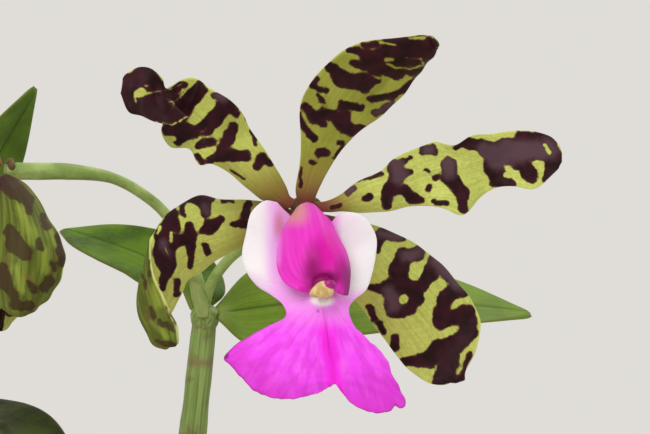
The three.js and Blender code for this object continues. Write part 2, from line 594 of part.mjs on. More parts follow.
function makeBloom(bloom) {
  const seat = onSheet(BLOOM_SEAT);
  const place = (point) => {
    const local = onSheet(point).sub(seat);
    return bloom.mirrored ? local.multiply(at(-1, 1, 1)) : local;
  };
  const ribsOf = (ribs) => ribs.map((rib) => (bloom.mirrored ? rib.toReversed() : rib).map(place));
  const group = new THREE.Group();
  group.position.copy(onSheet(bloom.seat));
  group.rotation.z = bloom.turn;
  for (const [name, ribs] of Object.entries(TEPALS)) {
    if (name === bloom.leftOut) {
      continue;
    }
    const claw = place(ribs[0][1]);
    const geometry = bladeGeometry(ribsOf(ribs), TEPAL_THICKNESS, bloom.steps, bloom.across)
      .translate(-claw.x, -claw.y, -claw.z);
    const mesh = addPiece(group, `${bloom.name}_${name}`, geometry, FINISH.tepal);
    mesh.position.copy(claw).multiplyScalar(bloom.spread);
    if (name.startsWith("petal")) {
      const side = -Math.sign(claw.x);
      mesh.rotation.set(0, side * bloom.petalsRaised, side * bloom.petalsClosed);
    }
  }
  const lip = bladeGeometry(ribsOf(LIP), LIP_THICKNESS, bloom.steps, bloom.across + 2);
  addPiece(group, `${bloom.name}_lip`, lip, FINISH.lip);
  const column = bladeGeometry(ribsOf(COLUMN), COLUMN_THICKNESS, bloom.steps, bloom.across);
  addPiece(group, `${bloom.name}_column`, column, FINISH.column);
  const cap = new THREE.SphereGeometry(1, 10, 6).scale(...ANTHER_CAP.size.toArray());
  const mesh = addPiece(group, `${bloom.name}_anther_cap`, cap, FINISH.anther);
  mesh.position.copy(place(ANTHER_CAP.place));
  sheet.add(group);
  group.updateMatrixWorld();
  return group;
}

const FRONT_BLOOM = {
  name: "front_bloom", seat: BLOOM_SEAT, turn: 0, mirrored: false, steps: 2, across: 6,
  spread: 1, petalsRaised: 0, petalsClosed: 0,
};
const SIDE_BLOOM = {
  name: "side_bloom", seat: SIDE_BLOOM_SEAT, turn: SIDE_BLOOM_TURN, mirrored: true, steps: 1,
  across: 4, leftOut: "lateral_sepal_left", spread: 1.05,
  petalsRaised: THREE.MathUtils.degToRad(12), petalsClosed: THREE.MathUtils.degToRad(38),
};

// Flower stem: a short stalk on the pseudobulb that forks to the two ovaries
function stalkTube(bloomGroup, way) {
  const ovary = OVARY_STATIONS.map((back) => bloomGroup.localToWorld(at(0, back, 0)));
  const path = [...way.map(inRoom), ...ovary];
  const radii = [...way.map(() => PEDICEL_RADIUS), 1.5 * PEDICEL_RADIUS, OVARY_RADIUS, OVARY_RADIUS,
    0.8 * OVARY_RADIUS];
  return tubeGeometry(path, radii, 8, 2 * (path.length - 1));
}

function makeFlowerStem(frontGroup, sideGroup) {
  const top = BULBS.a.at(-1);
  const rise = top.clone().sub(BULBS.a.at(-2)).normalize();
  const foot = top.clone().addScaledVector(rise, 2.5 * GAP);
  const stalk = tubeGeometry([foot, inRoom(STALK_FORK), inRoom(STALK_TOP)],
    [PEDICEL_RADIUS, 1.1 * PEDICEL_RADIUS, 1.1 * PEDICEL_RADIUS], 8, 4);
  return toGeometry(joined([stalk, stalkTube(frontGroup, FRONT_STALK), stalkTube(sideGroup, SIDE_STALK)]));
}

addPiece(plant, "pot", makePot(), FINISH.pot);
addPiece(plant, "bark_bed", makeBark(), FINISH.bark);
addPiece(plant, "rhizome", toGeometry(joined(rhizomeParts(0))), FINISH.root);
for (const [name, path] of Object.entries(BULBS)) {
  const radii = BULB_SWELL.map((share) => share * BULB_RADIUS);
  addPiece(plant, `pseudobulb_${name}`, tubeGeometry(path, radii, 10, 12), FINISH.bulb);
}
addPiece(plant, "new_shoot", makeNewShoot(), FINISH.sheath);
for (const [name, leaf] of Object.entries(LEAVES)) {
  addPiece(plant, name, bladeGeometry(leafRibs(leaf), LEAF_THICKNESS, 2, 4), FINISH.leaf);
}

plant.add(sheet);
const sheathRibs = FLORAL_SHEATH.map((rib) => rib.map(onSheet));
addPiece(sheet, "floral_sheath", bladeGeometry(sheathRibs, SHEATH_THICKNESS, 2, 4), FINISH.sheath);
const frontGroup = makeBloom(FRONT_BLOOM);
const sideGroup = makeBloom(SIDE_BLOOM);
const hangingRibs = HANGING_SEPAL.map((rib) => rib.map(onSheet));
addPiece(sheet, "side_bloom_lateral_sepal_left", bladeGeometry(hangingRibs, TEPAL_THICKNESS, 2, 6),
  FINISH.tepal);
addPiece(plant, "flower_stem", makeFlowerStem(frontGroup, sideGroup), FINISH.stalk);

export default plant;
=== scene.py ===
"""The looks of a potted spotted orchid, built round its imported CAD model.

Shapes are worked out in millimetres, in the frame of the CAD model, and scaled to metres where
a mesh is made. Ribs, paths and sizes repeat those of the CAD source.
"""

import math

import bpy
import numpy as np
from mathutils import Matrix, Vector


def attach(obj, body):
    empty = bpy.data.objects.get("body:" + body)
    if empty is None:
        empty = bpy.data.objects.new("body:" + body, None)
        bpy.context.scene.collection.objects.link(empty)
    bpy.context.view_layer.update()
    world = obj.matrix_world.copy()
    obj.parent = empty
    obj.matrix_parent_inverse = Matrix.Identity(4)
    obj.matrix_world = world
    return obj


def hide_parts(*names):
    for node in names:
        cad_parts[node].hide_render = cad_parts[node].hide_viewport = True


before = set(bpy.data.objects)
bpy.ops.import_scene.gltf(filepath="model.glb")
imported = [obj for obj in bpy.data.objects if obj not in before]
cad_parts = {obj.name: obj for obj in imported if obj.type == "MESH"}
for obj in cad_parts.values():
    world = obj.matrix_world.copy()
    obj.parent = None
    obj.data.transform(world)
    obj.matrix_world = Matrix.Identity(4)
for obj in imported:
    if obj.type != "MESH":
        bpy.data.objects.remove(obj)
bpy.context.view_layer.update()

MM = 0.001
SEED = 11
rng = np.random.default_rng(SEED)

# The blooms are drawn on a front elevation sheet, ruled in squares of 0.2 mm and seen from
# 400 mm away and 6 degrees above. A point on it is squares across, squares down and depth in
# mm away from the viewer.
SQUARE = 0.2
SHEET_MIDDLE = (325, 217)
VIEW_DISTANCE = 400
VIEW_TILT = math.radians(6)
SHEET_PLACE = np.array([30.0, -48.0, 204.0])
SHEET_WIDTH = 650

# Sizes of the pot and the bark
POT_HEIGHT = 96
POT_RIM_RADIUS = 54
POT_BASE_RADIUS = 35
POT_WALL = 5
POT_FLOOR = 7
RIM_BAND_HEIGHT = 20
RIM_BAND_STEP = 3
DRAIN_HOLE_RADIUS = 5
DRAIN_HOLE_OFFSET = 22
BARK_LEVEL = 82
GAP = 0.3

# Sizes of the plant
RHIZOME_RADIUS = 4.2
RHIZOME_LEVEL = 88
NECK_RADIUS = 3.6
NECK_TOP = 94.5
ROOT_RADIUS = 1.6
BULB_RADIUS = 4
PEDICEL_RADIUS = 1.2
OVARY_RADIUS = 1.9
LEAF_THICKNESS = (1.8, 0.9)
TEPAL_THICKNESS = (1.2, 0.7)
LIP_THICKNESS = (1.1, 0.7)
COLUMN_THICKNESS = (4.4, 1.2)
SHEATH_THICKNESS = (0.8, 0.7)

# Where the segments of a bloom meet, on the sheet, and the second bloom's place and turn
BLOOM_SEAT = (306, 212, 4.6)
SIDE_BLOOM_SEAT = (4, 171, 24)
SIDE_BLOOM_TURN = math.radians(-66)

# Ribs of each segment from its base to its tip: left margin, midrib, right margin
TEPALS = {
    "dorsal_sepal": [
        [[299.5, 207, 4], [305.5, 206.5, 3.8], [312, 207, 3.7]],
        [[295.5, 190, 2.5], [306, 189, 2.5], [319, 189, 2.6]],
        [[299.5, 165, 0], [314, 163, 0.6], [331, 166, 2]],
        [[301, 140, -3], [323, 141, -1], [349, 141, 2]],
        [[299.5, 113, -5], [333, 114, -2], [366, 127, 3]],
        [[306, 90, -8], [345, 95, -4], [387, 111, 3]],
        [[319, 73, -10], [360, 77, -6], [403, 95, 1]],
        [[337, 55, -12], [378, 64, -8], [416, 78, -2]],
        [[362, 42, -12], [400, 57, -10], [425, 66, -6]],
        [[395, 38, -12], [420, 50, -11], [433, 56, -9]],
        [[424, 35, -12], [432, 44, -12], [438, 48, -11]],
        [[433, 38, -14], [437, 43, -14], [438, 47, -13]],
    ],
    "petal_left": [
        [[288, 209, 2.2], [293, 205, 2.2], [297, 200, 2.2]],
        [[276, 205, 2], [284, 201, 1.8], [290, 196, 1.8]],
        [[262, 200, 1.5], [275, 194, 1], [286, 186, 1]],
        [[247, 188, 0], [262, 177, -2], [277, 170, -1]],
        [[229, 173, -3], [246, 160, -3], [265, 150, -3]],
        [[212, 164, -8], [231, 147, -4], [250, 129, -2]],
        [[199, 165, -10], [217, 138, -5], [243, 114, -4]],
        [[189, 149, -5], [206, 126, -6], [229, 99, -8]],
        [[171, 147, -2], [194, 116, -5.5], [209, 88, -8]],
        [[161, 130, -1], [184, 109, -5], [199, 80, -5]],
        [[172, 118, -7], [176, 104, -7.5], [187, 78, -6]],
        [[188, 118, -10.5], [170, 101, -9.5], [175, 85, -9]],
        [[174, 125, -12], [163, 98, -10.5], [166, 88, -10]],
        [[158, 123, -14], [155, 95, -10], [161, 78, -11]],
        [[143, 116, -14], [146, 92, -11], [152, 69, -10]],
        [[130, 113, -12], [137, 90, -11], [138, 67, -9]],
        [[123, 101, -11], [130, 88, -11], [127, 74, -9]],
        [[121.5, 93, -10], [122, 87, -10], [123, 81, -9]],
    ],
    "petal_right": [
        [[313, 202, 2.2], [317, 207, 2.2], [319, 212, 2.2]],
        [[326, 201, 2.2], [330, 207, 2.2], [330, 212, 2.4]],
        [[340, 195, 3], [343, 203, 2.4], [343, 211, 3]],
        [[356, 183, 4], [362, 196, 3], [362, 213, 4]],
        [[380, 171, 6], [386, 189, 4], [386, 211, 7]],
        [[395, 158, 4], [405, 182, 5], [408, 207, 8]],
        [[417, 148, 6], [425, 176, 6], [428, 206, 6]],
        [[436, 142, 9], [445, 172, 7], [446, 209, 4]],
        [[455, 146, 6], [462, 169, 8], [463, 215, 6]],
        [[472, 135, 5], [478, 165, 9], [479, 199, 10]],
        [[490, 134, 8], [497, 162, 10], [493, 189, 10]],
        [[510, 131, 12], [515, 160, 11], [515, 186, 8]],
        [[532, 131, 13], [533, 159, 12], [534, 189, 9]],
        [[549, 136, 14], [548, 158, 13], [548, 179, 12]],
        [[559, 145, 14], [557, 158, 14], [557, 170, 14]],
        [[562, 153, 14], [562, 157, 14], [562, 162, 14]],
    ],
    "lateral_sepal_left": [
        [[296, 223, 3.7], [295, 217, 3.7], [295, 211, 3.7]],
        [[272, 232, 5], [272, 217, 4.4], [272, 203, 4.4]],
        [[245, 244, 6], [247, 221, 4], [248, 200, 5]],
        [[222, 257, 6], [222, 226, 3], [220, 199, 5]],
        [[204, 270, 5], [198, 231, 1], [197, 196, 4]],
        [[190, 279, 4], [178, 239, -1], [174, 209, 2]],
        [[183, 290, 3], [163, 253, -3], [157, 227, -2]],
        [[178, 302, 3], [152, 270, -4], [150, 247, -6]],
        [[172, 312, 2], [143, 285, -4], [154, 273, -10]],
        [[168, 322, 1], [140, 300, -5], [163, 296, -12]],
        [[166, 331, 0], [142, 316, -5], [172, 314, -12]],
        [[165, 340, -2], [150, 332, -6], [178, 329, -11]],
        [[166, 346, -4], [156, 343, -7], [179, 342, -9]],
        [[168, 349, -6], [170, 347, -7.5], [176, 346, -7.5]],
    ],
    "lateral_sepal_right": [
        [[318, 213, 3.7], [315, 218, 3.7], [311, 223, 3.7]],
        [[342, 218, 7], [336, 232, 6], [324, 243, 7]],
        [[370, 224, 10], [357, 250, 8], [338, 270, 9]],
        [[395, 233, 13], [378, 268, 10], [351, 294, 11]],
        [[420, 247, 16], [398, 288, 12], [365, 313, 13]],
        [[440, 263, 18], [415, 308, 13], [381, 335, 14]],
        [[459, 284, 19], [431, 328, 14], [394, 352, 14]],
        [[473, 303, 18], [443, 346, 14], [406, 367, 13]],
        [[481, 325, 15], [452, 360, 13], [420, 378, 12]],
        [[475, 350, 12], [456, 371, 12], [436, 385, 11]],
        [[466, 370, 11], [458, 378, 11], [449, 383, 11]],
        [[465, 380, 11], [462, 381.5, 11], [458, 382, 11]],
    ],
}
LIP = [
    [[336, 216, 0], [312, 228, 2], [277, 202, -0.5]],
    [[350, 212, -2], [313, 238, 1], [264, 201, -1]],
    [[366, 219, -2], [314, 248, 0], [251, 213, -1.5]],
    [[376, 236, -1], [316, 258, -1], [246, 233, -1]],
    [[376, 254, -1], [317, 268, -3], [242, 254, -1]],
    [[372, 274, -2], [319, 278, -5], [246, 271, -2]],
    [[366, 290, -4], [321, 288, -7], [257, 286, -3]],
    [[354, 300, -7], [323, 298, -9], [271, 295, -5]],
    [[349, 308, -9], [325, 308, -10], [283, 305, -8]],
    [[350, 317, -10], [327, 320, -11], [285, 317, -9]],
    [[356, 329, -10], [329, 335, -12], [266, 327, -8]],
    [[370, 341, -10], [331, 350, -12], [243, 340, -8]],
    [[385, 357, -10], [333, 364, -12], [224, 356, -8]],
    [[393, 375, -10], [334, 370, -12], [232, 367, -8]],
    [[401, 391, -9], [334.5, 374, -12], [245, 382, -8]],
    [[406, 403, -9], [335, 378, -12], [262, 395, -8]],
    [[398, 409, -9], [335, 380, -12], [283, 399, -9]],
    [[375, 413, -10], [335, 382, -12], [305, 397, -10]],
    [[352, 404, -11], [335.5, 383.2, -12], [322, 391, -11]],
    [[340, 389, -12], [335.5, 384.5, -12], [331, 386, -12]],
]
COLUMN = [
    [[318, 213, 0.9], [307, 211, 0], [296, 214, 0.9]],
    [[330, 222, -1.8], [308, 222, -4], [287, 224, -1.8]],
    [[335, 232, -3.5], [310, 235, -7], [281, 235, -3.5]],
    [[341, 243, -5], [312, 246, -9.4], [278, 246, -5]],
    [[346, 253, -6.5], [315, 256, -11], [277, 256, -6.5]],
    [[349, 265, -8], [319, 265, -11.6], [277, 266, -8]],
    [[350, 276, -9.5], [322, 274, -11.2], [280, 276, -9.5]],
    [[350, 285, -11], [324, 281, -10.6], [286, 284, -11]],
    [[348, 295, -12], [325, 286, -10.4], [298, 290, -12]],
]
ANTHER_CAP_PLACE = (322.5, 289.3, -14.4)
ANTHER_CAP_SIZE = (2.15, 1.3, 1.65)
TONGUE_PLACE = (329.5, 284.5, -15)
TONGUE_SIZE = (1.25, 0.8, 0.95)
HOOD_DROPS = [(340, 290, 7, 6, 0.8), (308, 287, 7, 6, 0.7)]
CAP_LINK_PATH = [(322, 277, -10.8), (322.5, 282.5, -12.1), (322.5, 287, -13.3), (322.5, 289.5, -14.2)]
CAP_LINK_RADII = [1.3, 2.0, 2.1, 1.5]

# The second bloom's nearest sepal hangs down with its back to the viewer
HANGING_SEPAL = [
    [[0, 179, 20.5], [3, 177, 21], [6, 174, 22.3]],
    [[-3, 196, 14], [14, 193, 12], [29, 187, 15]],
    [[-3, 222, 8], [22, 219, 6], [50, 220, 11]],
    [[-5, 250, 5], [25, 248, 2], [64, 248, 9]],
    [[-6, 275, 3], [24, 275, 0], [63, 272, 7]],
    [[-4, 295, 3], [22, 297, 0], [52, 294, 6]],
    [[2, 308, 3], [20, 311, 1], [38, 307, 5]],
    [[14, 314, 3], [20, 315, 3], [26, 314, 4]],
]

# Flower stalks and the floral sheath on the sheet
STALK_FORK = (205, 303, 47)
STALK_TOP = (206, 298, 46.8)
FRONT_STALK = [STALK_FORK, (211, 284, 45), (230, 258, 40), (255, 240, 34), (284, 222, 27)]
SIDE_STALK = [STALK_FORK, (192, 262, 46), (168, 217, 43), (144, 195, 39), (112, 178, 35)]
FLORAL_SHEATH = [
    [[198, 317, 43.3], [203, 318, 42.8], [208, 317, 43.3]],
    [[194, 305, 43.6], [201, 305, 42.7], [208, 305, 43.6]],
    [[191, 292, 43.6], [197, 291, 42.7], [203, 292, 43.6]],
    [[190, 280, 43], [193, 279, 42.7], [196, 280, 43]],
]

# Dark blotches as brush strokes on the sheet: points of a path, each with squares across and
# down and a brush radius
BLOTCHES = {
    "dorsal_sepal": [
        (300, 114, 1.6, 304, 127, 3, 314, 139, 4.2), (304, 106, 3.6, 315, 117, 6.5, 323, 123, 4.2),
        (323, 114, 5, 345, 117, 6), (338, 123, 5, 351, 131, 5.5), (347, 128, 6.5, 365, 129, 2.8),
        (342, 105.5, 5, 361, 107.5, 4), (370, 99, 3.8, 392, 96, 3.2, 408, 88, 3.2),
        (404, 90, 3.4, 416, 79, 2), (376, 113, 4, 393, 105, 3.6), (329, 66, 4.4, 342, 78, 8),
        (342, 79, 8, 364, 83, 8.6, 375, 80, 5.5), (352, 63, 3, 364, 66, 5), (350, 50, 3.6, 358, 51, 4),
        (365, 45.5, 3.8, 377, 44, 3.6), (365, 55, 6, 374, 66, 8), (374, 60, 10.5, 392, 55, 10),
        (390, 52, 9.5, 425, 50, 7.5), (425, 47, 8, 437, 44, 4), (378, 68, 7, 396, 74, 4.6, 413, 71, 2.2),
        (321, 100, 1.8, 325, 103.5, 1.8), (312, 84, 2.6, 317, 79, 2.4), (313, 86, 3.4, 326, 91, 2.6),
        (320, 153, 5, 325, 153, 5), (311, 162, 2.4, 315, 163, 2.2), (338, 143, 2.6, 343, 143, 2.2),
        (334, 158, 1.4, 343, 147, 1.8), (301, 168, 1.6, 300.5, 186, 2), (398, 63, 4.4, 418, 63, 3.4),
        (317, 95, 1.4, 321, 100, 1.6), (384, 42, 4, 430, 41, 5.4), (434, 50, 6, 424, 66, 6, 410, 74, 2.4),
    ],
    "petal_left": [
        (126, 82, 9, 128, 98, 8), (133, 90, 14, 144, 84, 17), (145, 78, 12, 157, 90, 11),
        (131, 103, 11, 150, 109, 12), (150, 108, 12, 178, 108, 13), (160, 96, 8, 184, 84, 3.6),
        (184, 104, 11, 200, 90, 7), (198, 88, 6, 202, 82, 2.6), (165, 118, 7, 180, 117, 7),
        (168, 130, 6, 186, 131, 8), (186, 134, 6, 178, 141, 4.4), (214, 95, 3.6, 221, 96.5, 3.6),
        (222, 104, 5, 231, 105, 5.5), (230, 108, 5.5, 236, 113, 4.2),
        (226, 106, 7, 214, 119, 8, 207, 129, 7), (208, 124, 7, 195, 133, 5),
        (200, 145, 4.6, 212, 141, 4.4), (234, 126, 4.6, 229, 138, 6, 221, 150, 5),
        (232, 155.5, 6.2, 245, 155.5, 6), (224, 156, 6, 210, 160, 3.6), (196, 156, 3, 202, 161.5, 3.6),
        (248, 115, 1.4, 246, 120, 1.6), (252, 131, 2.4, 256, 144, 2.2),
        (257, 166, 4, 262, 158, 4.8, 270, 163, 4.2), (230, 170, 1.4, 244, 178, 1.4),
    ],
    "petal_right": [
        (332, 207, 2.2, 341, 206, 2.2), (348, 192, 3.2, 353, 189, 3.4), (366, 198, 4, 369, 197, 4),
        (358, 181, 1.6, 381, 174, 2.2), (394, 167, 7, 400, 174, 7.5), (403, 172, 4, 410, 172, 2.6),
        (395, 178, 6, 392, 188, 6), (402, 161, 3, 411, 158, 2), (520, 136, 5, 547, 139, 7),
        (387, 192, 5.5, 386, 206, 4.6), (389, 189, 6.5, 404, 190, 5), (404, 191, 5, 411, 197, 4.6),
        (411, 198, 5.6, 421, 200, 3.6), (423, 150, 4.4, 432, 150, 6.4), (425, 170, 1.5, 429, 171, 1.5),
        (429, 188, 3.4, 430, 187, 3.4), (435, 178, 3.6, 437, 177, 3.4), (449, 164, 7.5, 450, 176, 8.5),
        (451, 179, 7, 462, 192, 6.8), (462, 192, 6.4, 463, 208, 5), (434, 201, 2.6, 446, 204, 3),
        (455, 147, 2.6, 470, 141, 4.6), (470, 144, 6, 487, 147, 6.5), (487, 150, 8, 502, 155, 12),
        (505, 150, 12, 545, 148, 12), (490, 165, 8, 498, 177, 9), (498, 180, 8, 513, 184, 3.4),
        (521, 163, 9, 531, 176, 7.5), (547, 148, 11, 553, 160, 10), (552, 162, 9, 547, 178, 6),
    ],
    "lateral_sepal_left": [
        (248, 204, 4.4, 245, 216, 4), (233, 224, 3.6, 248, 224, 4), (222, 201, 2, 233, 202, 2),
        (203, 202, 7.4, 206, 213, 5.4), (188, 200, 3.8, 210, 198, 4.4), (220, 220, 5, 210, 227, 7),
        (209, 228, 7, 202, 231, 3.4), (205, 246, 3.8, 208, 252, 3.8), (182, 204, 2.8, 183, 214, 3),
        (190, 226, 5, 190, 240, 5.4), (191, 240, 5, 191, 266, 3), (172, 214, 6.4, 168, 228, 8),
        (161, 234, 7, 163, 250, 9), (161, 256, 9, 168, 266, 8), (166, 272, 7, 162, 288, 3),
        (174, 242, 7, 190, 238, 5.4), (177, 281, 3.4, 177, 294, 3.4), (176, 222, 3, 178, 230, 2.6),
        (168, 250, 7, 170, 262, 6),
    ],
    "lateral_sepal_right": [
        (382, 234, 6.4, 402, 238, 4), (380, 240, 3.4, 378, 251, 2.4), (398, 290, 4.6, 410, 291, 4.6),
        (418, 253, 7, 404, 257, 8), (403, 257, 8, 398, 270, 8.6, 402, 284, 7.6),
        (402, 284, 7, 416, 287, 5.6), (417, 287, 5.6, 419, 300, 5.6), (436, 261, 8, 431, 274, 7.6),
        (430, 275, 7, 423, 285, 6), (440, 263, 6.6, 452, 276, 8, 462, 291, 7),
        (371, 288, 3.6, 385, 288, 6), (391, 287, 8, 392, 304, 8), (394, 311, 8, 409, 310, 6.4),
        (412, 300, 5.4, 412, 307, 5.4), (458, 289, 7, 447, 296, 7.4), (446, 297, 7.4, 441, 312, 7.4),
        (441, 312, 7.6, 440, 323, 7.4), (448, 320, 6.6, 465, 314, 8.4), (467, 315, 9.4, 469, 331, 9),
        (468, 332, 8.8, 459, 343, 9), (459, 343, 9.4, 441, 351, 10), (440, 348, 9, 428, 358, 8),
        (430, 360, 7.4, 404, 362, 5), (450, 360, 10, 444, 376, 9.4), (441, 379, 5.6, 434, 383, 3.4),
        (370, 307, 3.6, 374, 318, 4), (379, 324, 3.8, 384, 332, 3.4), (395, 338, 4.6, 395, 348, 4.6),
        (470, 354, 3, 464, 373, 3.6), (462, 378, 3, 452, 379, 4),
    ],
    "hanging_sepal": [
        (2, 176, 9, 14, 190, 9), (14, 190, 8, 28, 200, 6), (28, 202, 4, 30, 212, 3.4),
        (10, 232, 7, 16, 246, 9, 26, 254, 7), (42, 216, 3.4, 47, 226, 3.4), (60, 236, 5, 63, 262, 5),
        (2, 268, 6, 6, 284, 6, 14, 296, 5), (30, 284, 3.4, 34, 290, 4), (44, 288, 5, 50, 280, 5),
        (14, 306, 5, 30, 306, 5), (52, 262, 2.4, 54, 270, 2.4), (38, 240, 2.6, 41, 248, 3),
    ],
}

# Bright lines and patches left open inside the dark ones
OPENINGS = {
    "dorsal_sepal": [
        (386, 60, 1.8, 393, 59.5, 1.2), (388, 64, 1.2, 395, 67.5, 1.1),
        (395, 67.5, 0.8, 410, 69, 0.6, 424, 65, 0.6, 421, 59, 0.4), (406, 58, 0.2, 421, 59, 0.3),
        # The last opening on this line, at the dorsal sepal's tip, is a painted highlight: a pale glint
        (381, 42.5, 1.2, 396, 45, 0.2), (373, 76, 0.6, 381, 79, 1), (410, 38.5, 1, 424, 37.5, 1.6),
    ],
    "petal_left": [
        (137, 94, 3.4, 142, 92, 4.2), (145, 86, 0.4, 148, 86, 0),
        (146, 94, 1, 152, 92.5, 0, 170, 89.5, -0.2, 182, 84, -0.2), (135, 97, 1.2, 136, 103, 0),
        (169, 102, 0, 176, 101, 0, 183, 94, 0.2, 190, 86, 1.2, 195, 79, 3), (174, 103, 0, 172, 110, -0.2),
        (161, 122, 0, 172, 125, 0.2, 180, 121, 0.2, 185, 117.5, 0.2, 192, 116, 1),
        (168, 139, 3.4, 174, 139, 2.2), (200, 132.5, -0.1, 207, 128.5, -0.1),
        (202, 138, 0.3, 214, 134.5, 0.3, 220, 129, 0.8),
    ],
    "petal_right": [
        (400, 200, 2.2, 402, 206, 2.4), (507, 175, 3.2, 516, 174, 4), (542, 164, 2.8, 540, 184, 1.6),
        (545, 145, 1.4, 549, 152, 2),
    ],
    "lateral_sepal_left": [
        (171, 233, 1.2, 171, 241, 1.4), (160, 227, 1.6, 158, 233, 1), (164, 246, 0.2, 168, 254, 0.2),
    ],
    "lateral_sepal_right": [
        (403, 300, 4.6, 404, 299, 4.6), (477, 341, 2.2, 466, 351, 2.4),
    ],
}

# How pale the green of each segment is, from 0 to 1
PALENESS = {
    "dorsal_sepal": 0.0, "petal_left": 0.5, "petal_right": 0.8, "lateral_sepal_left": 0.6,
    "lateral_sepal_right": 0.6, "hanging_sepal": 0.0,
}

# Softer mauve places in the blotches: painted sheen on the dark blotches
SHEEN_VEILS = {
    "petal_right": [
        (396, 166, 8, 400, 176, 8), (428, 150, 5, 431, 150, 5), (449, 162, 7, 450, 172, 7),
        (347, 191, 5, 352, 189, 5), (484, 150, 8, 500, 158, 12), (508, 150, 11, 548, 150, 10),
    ],
    "lateral_sepal_right": [
        (416, 253, 6, 406, 256, 5), (389, 292, 5, 393, 306, 7), (438, 262, 7, 457, 281, 8),
        (380, 233, 4, 398, 238, 4),
    ],
    "petal_left": [
        (215, 95, 3, 222, 98, 4),
    ],
    "lateral_sepal_left": [
        (204, 206, 4, 207, 212, 4), (163, 243, 3, 167, 252, 3),
    ],
    "dorsal_sepal": [
        (378, 113, 4, 392, 104, 4),
    ],
}

# Spots and bright streaks on the backs of the segments that show theirs
BACK_SPOTS = {
    "lateral_sepal_left": [
        (151, 309, 2.6, 154, 317, 3), (159, 320, 2.4, 162, 325, 3), (167, 324, 3, 171, 328, 2.6),
        (156, 341, 2.4, 174, 345, 2.6), (172, 314, 1.4, 174, 322, 1.4), (141, 270, 1.2, 145, 288, 1.6),
        (149, 262, 1.6, 151, 276, 1.2), (164, 302, 0.6, 174, 332, 0.8), (168, 300, 0, 176, 326, 0.2),
    ],
}
BACK_STREAKS = {
    "lateral_sepal_left": [
        (154, 286, 2.4, 159, 304, 3.4), (151, 322, 2.4, 167, 337, 2.6), (152, 262, 1.4, 158, 284, 1.6),
    ],
    "hanging_sepal": [
        (20, 208, 4, 30, 230, 5), (32, 232, 4, 34, 244, 3), (46, 250, 2, 44, 270, 2),
        (16, 268, 3, 22, 290, 4), (50, 230, 3, 54, 244, 2),
    ],
}

# Tints of the lip and column on the sheet. An ellipse has its middle, its radii and the softness
# of its edge. A fade runs across or down from the square where it is 0 to the one where it is 1.
ACROSS, DOWN = 0, 1
VEIN_ORIGIN = (325, 292)
REACH_UNIT = 20
FAR_REACH = (78, 124)
CALLUS = (322.5, 299, 11.5, 7)
MIDLINE_TOP = (323, 305)
MIDLINE_SLANT = 0.15
MIDLINE_BAND = (13, 3)
MIDLINE_THREAD = (1.6, 0.4)
LIP_MARGIN = (0.965, 0.998)
LILAC_SIDES = 0.75
LILAC_NECK = 0.6
LIP_ROSE = (279, 225, 5, 13, 0.8)
LIP_DOTS = [(1, (226, 356, 3, 3, 0.35)), (0.6, (318, 311, 1.6, 1.6, 0.35))]
LIP_FADES = {
    "side_lobes": (DOWN, 304, 284), "left_lobe": (ACROSS, 284, 264),
    "right_lobe": (ACROSS, 330, 344), "lilac_left": (ACROSS, 258, 276),
    "lilac_right": (ACROSS, 330, 300), "lilac_above": (DOWN, 308, 276),
    "neck_below": (DOWN, 266, 290), "neck_right": (ACROSS, 345, 318),
    "lilac_foot": (DOWN, 312, 292), "blush": (DOWN, 334, 300), "midline": (DOWN, 306, 336),
    "thread_top": (DOWN, 300, 312), "thread_foot": (DOWN, 392, 370), "margin": (DOWN, 300, 320),
}
COLUMN_HOT = [(1, (326, 252, 13, 20, 0.7))]
COLUMN_DEEP = [(1, (313, 265, 8, 18, 0.9)), (0.8, (342, 272, 7, 16, 0.8))]
# Painted shade in the hollow round the top of the anther cap, under the hood
COLUMN_HOLLOW_SHADE = [(1, (325, 278, 14, 7, 0.6)), (0.5, (314, 276, 9, 12, 0.9))]
COLUMN_FADES = {
    "top_above": (DOWN, 232, 212), "top_left": (ACROSS, 316, 296),
    "lilac_left": (ACROSS, 284, 278), "lilac_below": (DOWN, 228, 240),
    "lilac_above": (DOWN, 272, 258), "purple_right": (ACROSS, 340, 346),
    "purple_below": (DOWN, 256, 276),
}


# Rotations and places
def turned(axis, angle):
    c, s = math.cos(angle), math.sin(angle)
    return np.array({
        "x": [[1, 0, 0], [0, c, -s], [0, s, c]],
        "y": [[c, 0, s], [0, 1, 0], [-s, 0, c]],
        "z": [[c, -s, 0], [s, c, 0], [0, 0, 1]],
    }[axis])


SHEET_TURN = turned("x", -VIEW_TILT)


def at(*numbers):
    return np.array(numbers, float)


def on_sheet(points):
    """Sheet points in millimetres, in the sheet's own frame."""
    across, down, depth = np.moveaxis(np.asarray(points, float), -1, 0)
    grow = SQUARE * (1 + depth / VIEW_DISTANCE)
    return np.stack([(across - SHEET_MIDDLE[0]) * grow, depth, (SHEET_MIDDLE[1] - down) * grow], -1)


def squares(points):
    """Squares across and down of points in the sheet's own frame."""
    grow = SQUARE * (1 + points[..., 1] / VIEW_DISTANCE)
    across = points[..., 0] / grow + SHEET_MIDDLE[0]
    down = SHEET_MIDDLE[1] - points[..., 2] / grow
    return np.stack([across, down], -1)


def to_room(points):
    """Points of the sheet's own frame in the frame of the CAD model."""
    return points @ SHEET_TURN.T + SHEET_PLACE


def in_room(points):
    return to_room(on_sheet(points))


def unit(vectors):
    return vectors / np.maximum(np.linalg.norm(vectors, axis=-1, keepdims=True), 1e-9)


# Curves from 0 to 1
def smooth(low, high, value):
    t = np.clip((value - low) / (high - low), 0, 1)
    return t * t * (3 - 2 * t)


def hill(value, width):
    return np.exp(-((value / width) ** 2))


def dome(value):
    """1 up to value 0, then falling along a quarter circle to 0 at value 1."""
    return np.sqrt(np.clip(1 - np.clip(value, 0, 1) ** 2, 0, 1))


def blob(places, x, y, rx, ry, soft=0.35):
    """1 inside an ellipse on the sheet and 0 outside it, with a soft edge."""
    distance = np.hypot((places[:, 0] - x) / rx, (places[:, 1] - y) / ry)
    return smooth(1 + soft, 1 - soft, distance)


